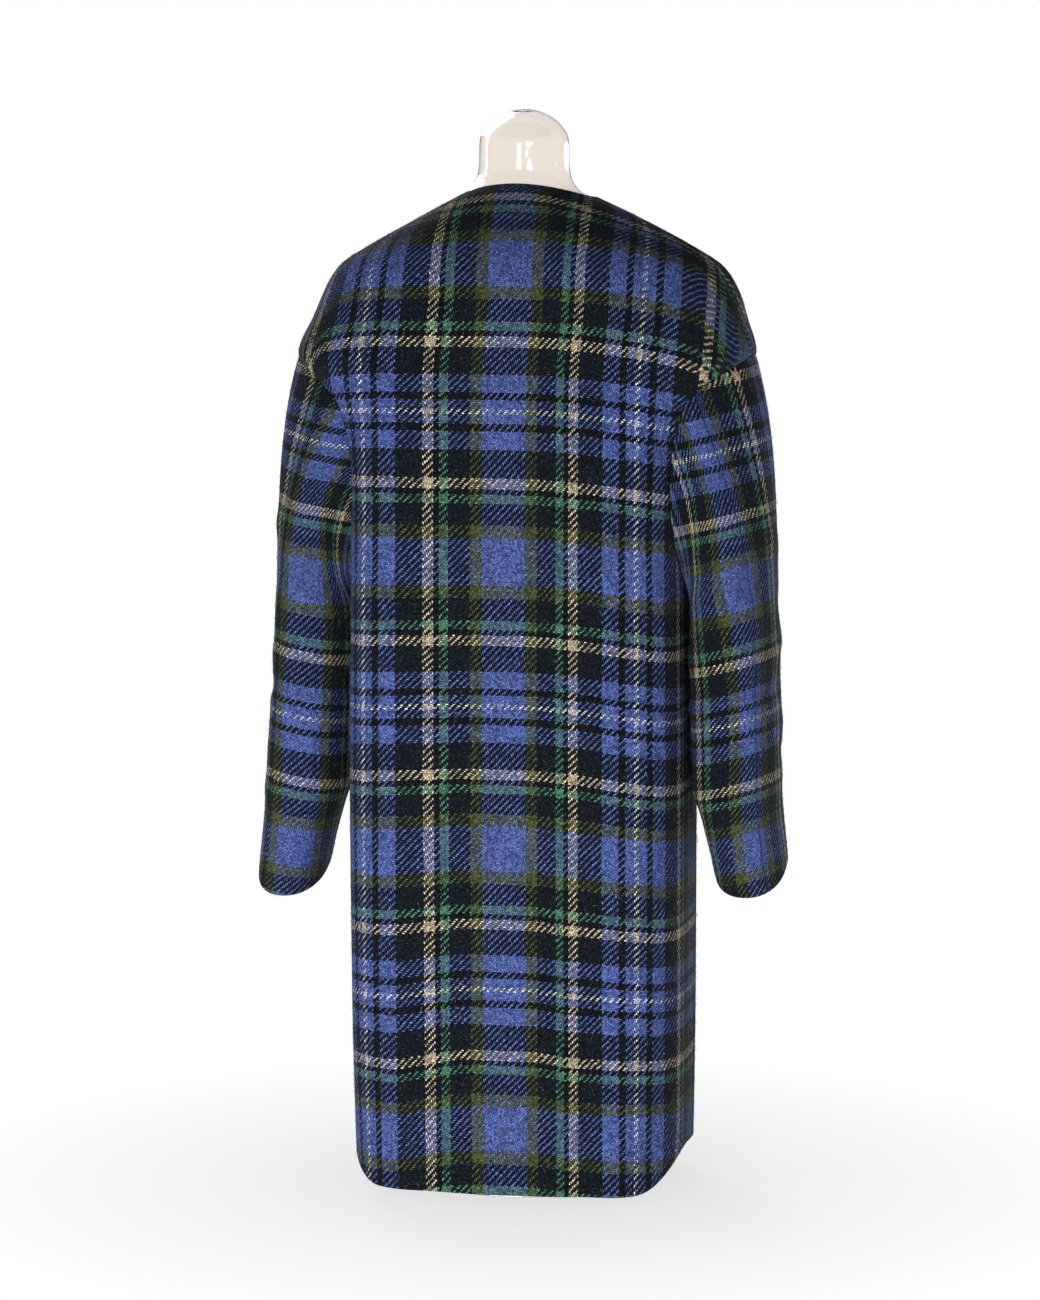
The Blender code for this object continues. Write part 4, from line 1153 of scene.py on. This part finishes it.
def made_by(tree, source, name, **values):
    """The plain mesh that a tree of shapes makes of a source object, which is then removed."""
    change = source.modifiers.new(tree.name, "NODES")
    change.node_group = tree
    for item in tree.interface.items_tree:
        if item.item_type == "SOCKET" and item.in_out == "INPUT" and item.name in values:
            change[item.identifier] = values[item.name]
    shape = source.evaluated_get(bpy.context.evaluated_depsgraph_get())
    mesh = bpy.data.meshes.new_from_object(shape)
    source.modifiers.remove(change)
    bpy.data.objects.remove(source)
    mesh.name = name
    mesh.shade_smooth()
    made = bpy.data.objects.new(name, mesh)
    bpy.context.scene.collection.objects.link(made)
    return made


def paths_object(name, paths):
    """Edges along each path of points; a path whose ends meet is closed."""
    points, edges = [], []
    for path in paths:
        first = len(points)
        closed = np.allclose(path[0], path[-1])
        path = path[:-1] if closed else path
        points += [tuple(p) for p in path]
        edges += [(first + i, first + i + 1) for i in range(len(path) - 1)]
        if closed:
            edges.append((first + len(path) - 1, first))
    mesh = bpy.data.meshes.new(name)
    mesh.from_pydata(points, edges, [])
    made = bpy.data.objects.new(name, mesh)
    bpy.context.scene.collection.objects.link(made)
    return made


# ------------------------------------------------------------------ dress form, buttons and their sewing


def quarter_points(row, count, back):
    side, high_back, high_front, width, deep_back, deep_front, square_back, square_front = row
    deep, square, middle = -deep_front, square_front, high_front
    if back:
        deep, square, middle = deep_back, square_back, high_back
    angle = QUARTER * np.linspace(0, 1, FINE_POINTS) ** SIDE_CROWDING
    c, s = np.clip(np.cos(angle), 0, 1), np.sin(angle)
    z = side + (middle - side) * s**2
    line = np.stack([width * c ** (2 / square), deep * s ** (2 / square), z], axis=1)
    return along(line, np.linspace(0, 1, count + 1))


FORM_QUARTER = 28


def whole_ring(back, front):
    left = np.concatenate([front[:0:-1], back])
    return np.concatenate([left, left[-2:0:-1] * MIRROR])


def table_ring(row):
    return whole_ring(quarter_points(row, FORM_QUARTER, True), quarter_points(row, FORM_QUARTER, False))


def form_rings():
    """The form's outer side, rings from its floor to its neck's top on smooth curves through the tables."""
    shares = np.linspace(0, 1, FORM_QUARTER + 1)
    coat = np.array(
        [whole_ring(*(along(body_line(h, h, way)[:, :3], shares) for way in (1, -1))) for h in RESTING_ROWS]
    )
    normals = ring_normals(coat)
    to_front = np.clip(-normals[:, :, 1:2], 0, 1) ** 2
    resting = sway(coat - normals * (CLOTH + FORM_GAP + FORM_FRONT_GAP * to_front))
    dome = []
    for below, width, deep in (*DOME, (0.0004, 0.0066, 0.0070), (0.0, 0.0004, 0.0004)):
        z = NECK_TOP - below
        dome.append(table_ring((z, z, z, width, deep + NECK_BEHIND, deep - NECK_BEHIND, 2.0, 2.0)))
    rings = np.array([*map(table_ring, FORM), *resting, *map(table_ring, NECK_FOOT), *dome])
    step = np.linalg.norm(np.diff(rings, axis=0), axis=2).mean(axis=1)
    place = np.concatenate([[0], np.cumsum(step)])
    fine = np.unique(np.concatenate([np.linspace(0, place[-1], 110), np.linspace(place[-9], place[-1], 40)]))
    made = np.empty((len(fine), rings.shape[1], 3))
    for column_number in range(rings.shape[1]):
        for axis in range(3):
            made[:, column_number, axis] = monotone(place, rings[:, column_number, axis], fine)
    return made


def clear_shell(finish):
    """The form's hollow shell with its rounded floor rim and the hole for the pole."""
    outer = form_rings()
    normals = ring_normals(outer)
    dome_height = NECK_TOP - DOME[0][0]
    from_middle = unit(outer - (0, NECK_BEHIND, dome_height))
    normals = np.where(outer[:, :, 2:] > dome_height, from_middle, normals)
    inner = outer - normals * FORM_WALL
    inner[:, :, 2] = np.maximum(inner[:, :, 2], FORM_BOTTOM + FORM_WALL)
    turn = np.arctan2(outer[0, :, 1], outer[0, :, 0])
    hole = np.stack([np.cos(turn), np.sin(turn), np.zeros_like(turn)], axis=1) * (POLE_RADIUS + 2 * SEAM)
    rim = outer[0] - unit(outer[0] * (1, 1, 0)) * FOOT_CHAMFER
    outer[0, :, 2] += FOOT_CHAMFER
    loops = [hole + (0, 0, FORM_BOTTOM), rim, *outer]
    back_down = [*inner[::-1], hole + (0, 0, FORM_BOTTOM + FORM_WALL)]
    columns = len(turn)
    tips = [(0, NECK_BEHIND, NECK_TOP), (0, NECK_BEHIND, NECK_TOP - FORM_WALL)]
    points = np.concatenate([*loops, *back_down, tips])
    faces = []
    last, first = (len(loops) - 1) * columns, len(loops) * columns
    for start in range(0, (len(loops) + len(back_down) - 1) * columns, columns):
        if start != last:
            pairs = [(start + c, start + (c + 1) % columns) for c in range(columns)]
            faces += [(a, b, b + columns, a + columns) for a, b in pairs]
    end = len(points) - 2 - columns
    for c in range(columns):
        d = (c + 1) % columns
        faces.append((last + c, last + d, len(points) - 2))
        faces.append((first + d, first + c, len(points) - 1))
        faces.append((end + c, end + d, d, c))
    return mesh_object("clear_shell", points, faces, finish)


def button_place(height):
    """The middle of a button on the cloth, and the directions across, up and out there."""
    below, middle, above = sway([surface(height + up * BUTTON_RADIUS, QUARTER, -1) for up in (-1, 0, 1)])
    up = unit(above - below)
    out = unit(np.cross((1, 0, 0), above - below))
    return middle, np.array([1.0, 0, 0]), up, out


def button_sewing(finish):
    """Two stitches of thread over each button, down through its four holes."""
    paths = []
    for height in BUTTON_HEIGHTS:
        middle, across, up, out = button_place(height)
        reach = BUTTON_HOLE_OUT * math.sqrt(0.5)
        for side in (-1, 1):
            for shift in (-SEWING_SHIFT, SEWING_SHIFT):
                path = []
                for share in np.linspace(-1, 1, 15):
                    arch = 0.0030 + 0.0005 * (1 - share**2)
                    sink = 0.0026 * max(0.0, (abs(share) - 0.8) / 0.2) ** 2
                    place = middle + across * share * reach + up * (side * reach + shift)
                    path.append(place + out * (arch - sink + SEAM))
                paths.append(path)
    source = paths_object("button_thread_paths", paths)
    return made_by(thread_tree(), source, "button_sewing", Thickness=SEWING_THICK, Material=finish)


def buttonholes(finish):
    """A worked buttonhole behind each button: stitches side by side round an oblong that shows beside it."""
    paths = []
    for height in BUTTON_HEIGHTS:
        path = []
        for turn in np.linspace(0, 2 * math.pi, 61):
            dx = (HOLE_HALF - HOLE_ROUND) * np.sign(np.cos(turn)) * min(1.0, abs(np.cos(turn)) * 6)
            dx += HOLE_ROUND * np.cos(turn)
            path.append(front_point(HOLE_MIDDLE + dx, height + HOLE_ROUND * np.sin(turn)))
        paths.append(path)
    sizes = {"Spacing": 0.00075, "Length": 0.0024, "Thickness": SEWING_THICK, "Seed": 4, "Material": finish}
    source = paths_object("buttonhole_paths", paths)
    return made_by(overcast_tree(), source, "buttonhole_stitches", **sizes)


def front_point(x, height):
    """A point on the outer side of the right front, near the middle, at a distance x to the wearer's left."""
    middle = surface(height, QUARTER, -1)
    deep = column(BODY, BODY_COLUMNS, "deep_front", height)
    square = column(BODY, BODY_COLUMNS, "square_front", height)
    width = column(BODY, BODY_COLUMNS, "width", height)
    y = -deep * (1 - (abs(x) / width) ** square) ** (1 / square)
    return sway([(x, float(y) - 0.0002, middle[2])])[0]


def outer_side(grid):
    """The outer side of a panel alone, with its thread numbers."""
    _, quads = grid_quads(*grid.shape[:2])
    place = sway(grid[..., :3].reshape(-1, 3))
    return place, quads, grid[..., 6:8].reshape(-1, 2)


def loose_fibres(grids, finish):
    """One mesh of loose fibres over every panel's outer side."""
    parts = [outer_side(grid) for grid, _ in grids.values()]
    firsts = np.cumsum([0] + [len(place) for place, _, _ in parts[:-1]])
    points = np.concatenate([place for place, _, _ in parts])
    faces = np.concatenate([quads + first for (_, quads, _), first in zip(parts, firsts)])
    threads = np.concatenate([numbers for _, _, numbers in parts])
    source = mesh_object("fibre_ground", points, faces, finish, threads)
    return made_by(fibre_tree(), source, "wool_fibres", Density=FIBRES_PER_AREA, Seed=7, Material=finish)


# ------------------------------------------------------------------ the finished part


def dress_the_form():
    twill = twill_group()
    wool, thread = wool_finish(twill), thread_finish()
    grids = coat_grids()
    for name, (grid, kinds) in grids.items():
        gap = SLEEVE_GAP / 2 if "sleeve" in name else SEAM / 2
        gaps = (0 if name == "front_left" else gap, 0 if name == "front_right" else gap)
        panel = wool_panel("wool_" + name, grid, kinds.split(), gaps, wool)
        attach(panel, "root")
        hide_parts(name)

    shell = clear_shell(clear_finish())
    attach(shell, "root")
    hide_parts("form")
    horn, steel = horn_finish(), steel_finish()
    for name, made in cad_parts.items():
        if name.startswith("button") or name.startswith("stand"):
            for slot in made.material_slots:
                slot.material = horn if name.startswith("button") else steel

    for piece, slot in (
        (button_sewing(thread), "wool"),
        (buttonholes(thread), "wool"),
        (loose_fibres(grids, fibre_finish(twill)), "wool"),
    ):
        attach(piece, "root")


def studio():
    """A pale floor that melts into a white surround, and soft light from behind and from the front."""
    made, tree, shader = finish_of("pale_floor", Roughness=0.85)
    at = node(tree, "ShaderNodeTexCoord").outputs["Object"]
    x, y, _ = node(tree, "ShaderNodeSeparateXYZ", {0: at}).outputs
    away = distance(tree, x, y)
    grain = noise(tree, at, 60.0, 3.0).outputs["Fac"]
    colour = mix(tree, grain, (0.80, 0.80, 0.80, 1), (0.84, 0.84, 0.84, 1))
    tree.links.new(colour, shader.inputs["Base Color"])
    glow = node(tree, "ShaderNodeEmission", {0: (1, 1, 1, 1), 1: 1.0}).outputs[0]
    share = between(tree, away, 0.10, 0.60, 0.70, 1.0)
    both = node(tree, "ShaderNodeMixShader", {0: share, 1: shader.outputs[0], 2: glow}).outputs[0]
    tree.links.new(both, tree.nodes["Material Output"].inputs["Surface"])
    turn = np.linspace(0, 2 * math.pi, FLOOR_SIDES, endpoint=False)
    points = [(0, 0, 0)] + [(r * math.cos(t), r * math.sin(t), 0) for r in FLOOR_RINGS for t in turn]
    sides = [(i, (i + 1) % FLOOR_SIDES) for i in range(FLOOR_SIDES)]
    faces = [(0, 1 + i, 1 + j) for i, j in sides]
    for k in range(len(FLOOR_RINGS) - 1):
        a, b = 1 + k * FLOOR_SIDES, 1 + (k + 1) * FLOOR_SIDES
        faces += [(a + i, b + i, b + j, a + j) for i, j in sides]
    floor = mesh_object("floor", points, faces, made)

    world = bpy.data.worlds.new("white_room")
    bpy.context.scene.world = world
    world.use_nodes = True
    tree = world.node_tree
    ground = tree.nodes["Background"]
    ground.inputs[0].default_value = (1, 1, 1, 1)
    path = node(tree, "ShaderNodeLightPath").outputs
    seen = calc(tree, "MAXIMUM", path["Is Camera Ray"], path["Is Transmission Ray"])
    tree.links.new(between(tree, seen, 0.0, 1.0, 0.15, 1.0), ground.inputs[1])
    for name, place, aimed_at, size, spread, power in (
        ("key", (0.3, 3.9, 0.25), 0.00, 1.3, 52, 15.5),
        ("fill", (-1.9, 4.3, 0.60), 0.20, 1.2, 120, 10.0),
        ("front_key", (2.1, -3.8, 2.4), 0.55, 2.0, 180, 85.0),
        ("front_fill", (-1.3, -4.2, 0.4), 0.55, 1.6, 180, 40.0),
    ):
        light = bpy.data.lights.new(name, "AREA")
        light.shape = "DISK"
        light.energy = power
        light.size = size
        light.spread = math.radians(spread)
        lamp = bpy.data.objects.new(name, light)
        lamp.location = place
        aim = Vector((0, 0, aimed_at)) - Vector(place)
        lamp.rotation_mode = "QUATERNION"
        lamp.rotation_quaternion = aim.to_track_quat("-Z", "Y")
        bpy.context.scene.collection.objects.link(lamp)


# the turn, the aim and the lens are a fit to points read off the photograph
CAMERA_AWAY = 4.6
CAMERA_TURN = 10.7218  # degrees from straight behind, towards the wearer's right
CAMERA_HEIGHT = 1.05
LOOKS_AT = (0.0044, 0.0, 0.5274)
LENS = 130.1


def photographer():
    turn = math.radians(CAMERA_TURN)
    eye = Vector((-CAMERA_AWAY * math.sin(turn), CAMERA_AWAY * math.cos(turn), CAMERA_HEIGHT))
    view = bpy.data.cameras.new("camera")
    view.lens, view.sensor_width, view.sensor_fit = LENS, 36.0, "AUTO"
    view.clip_start, view.clip_end = 0.05, 200.0
    camera = bpy.data.objects.new("camera", view)
    camera.location = eye
    camera.rotation_mode = "QUATERNION"
    camera.rotation_quaternion = (Vector(LOOKS_AT) - eye).to_track_quat("-Z", "Y")
    bpy.context.scene.collection.objects.link(camera)
    bpy.context.scene.camera = camera
    bpy.context.scene.view_settings.view_transform = "Standard"


dress_the_form()
studio()
photographer()
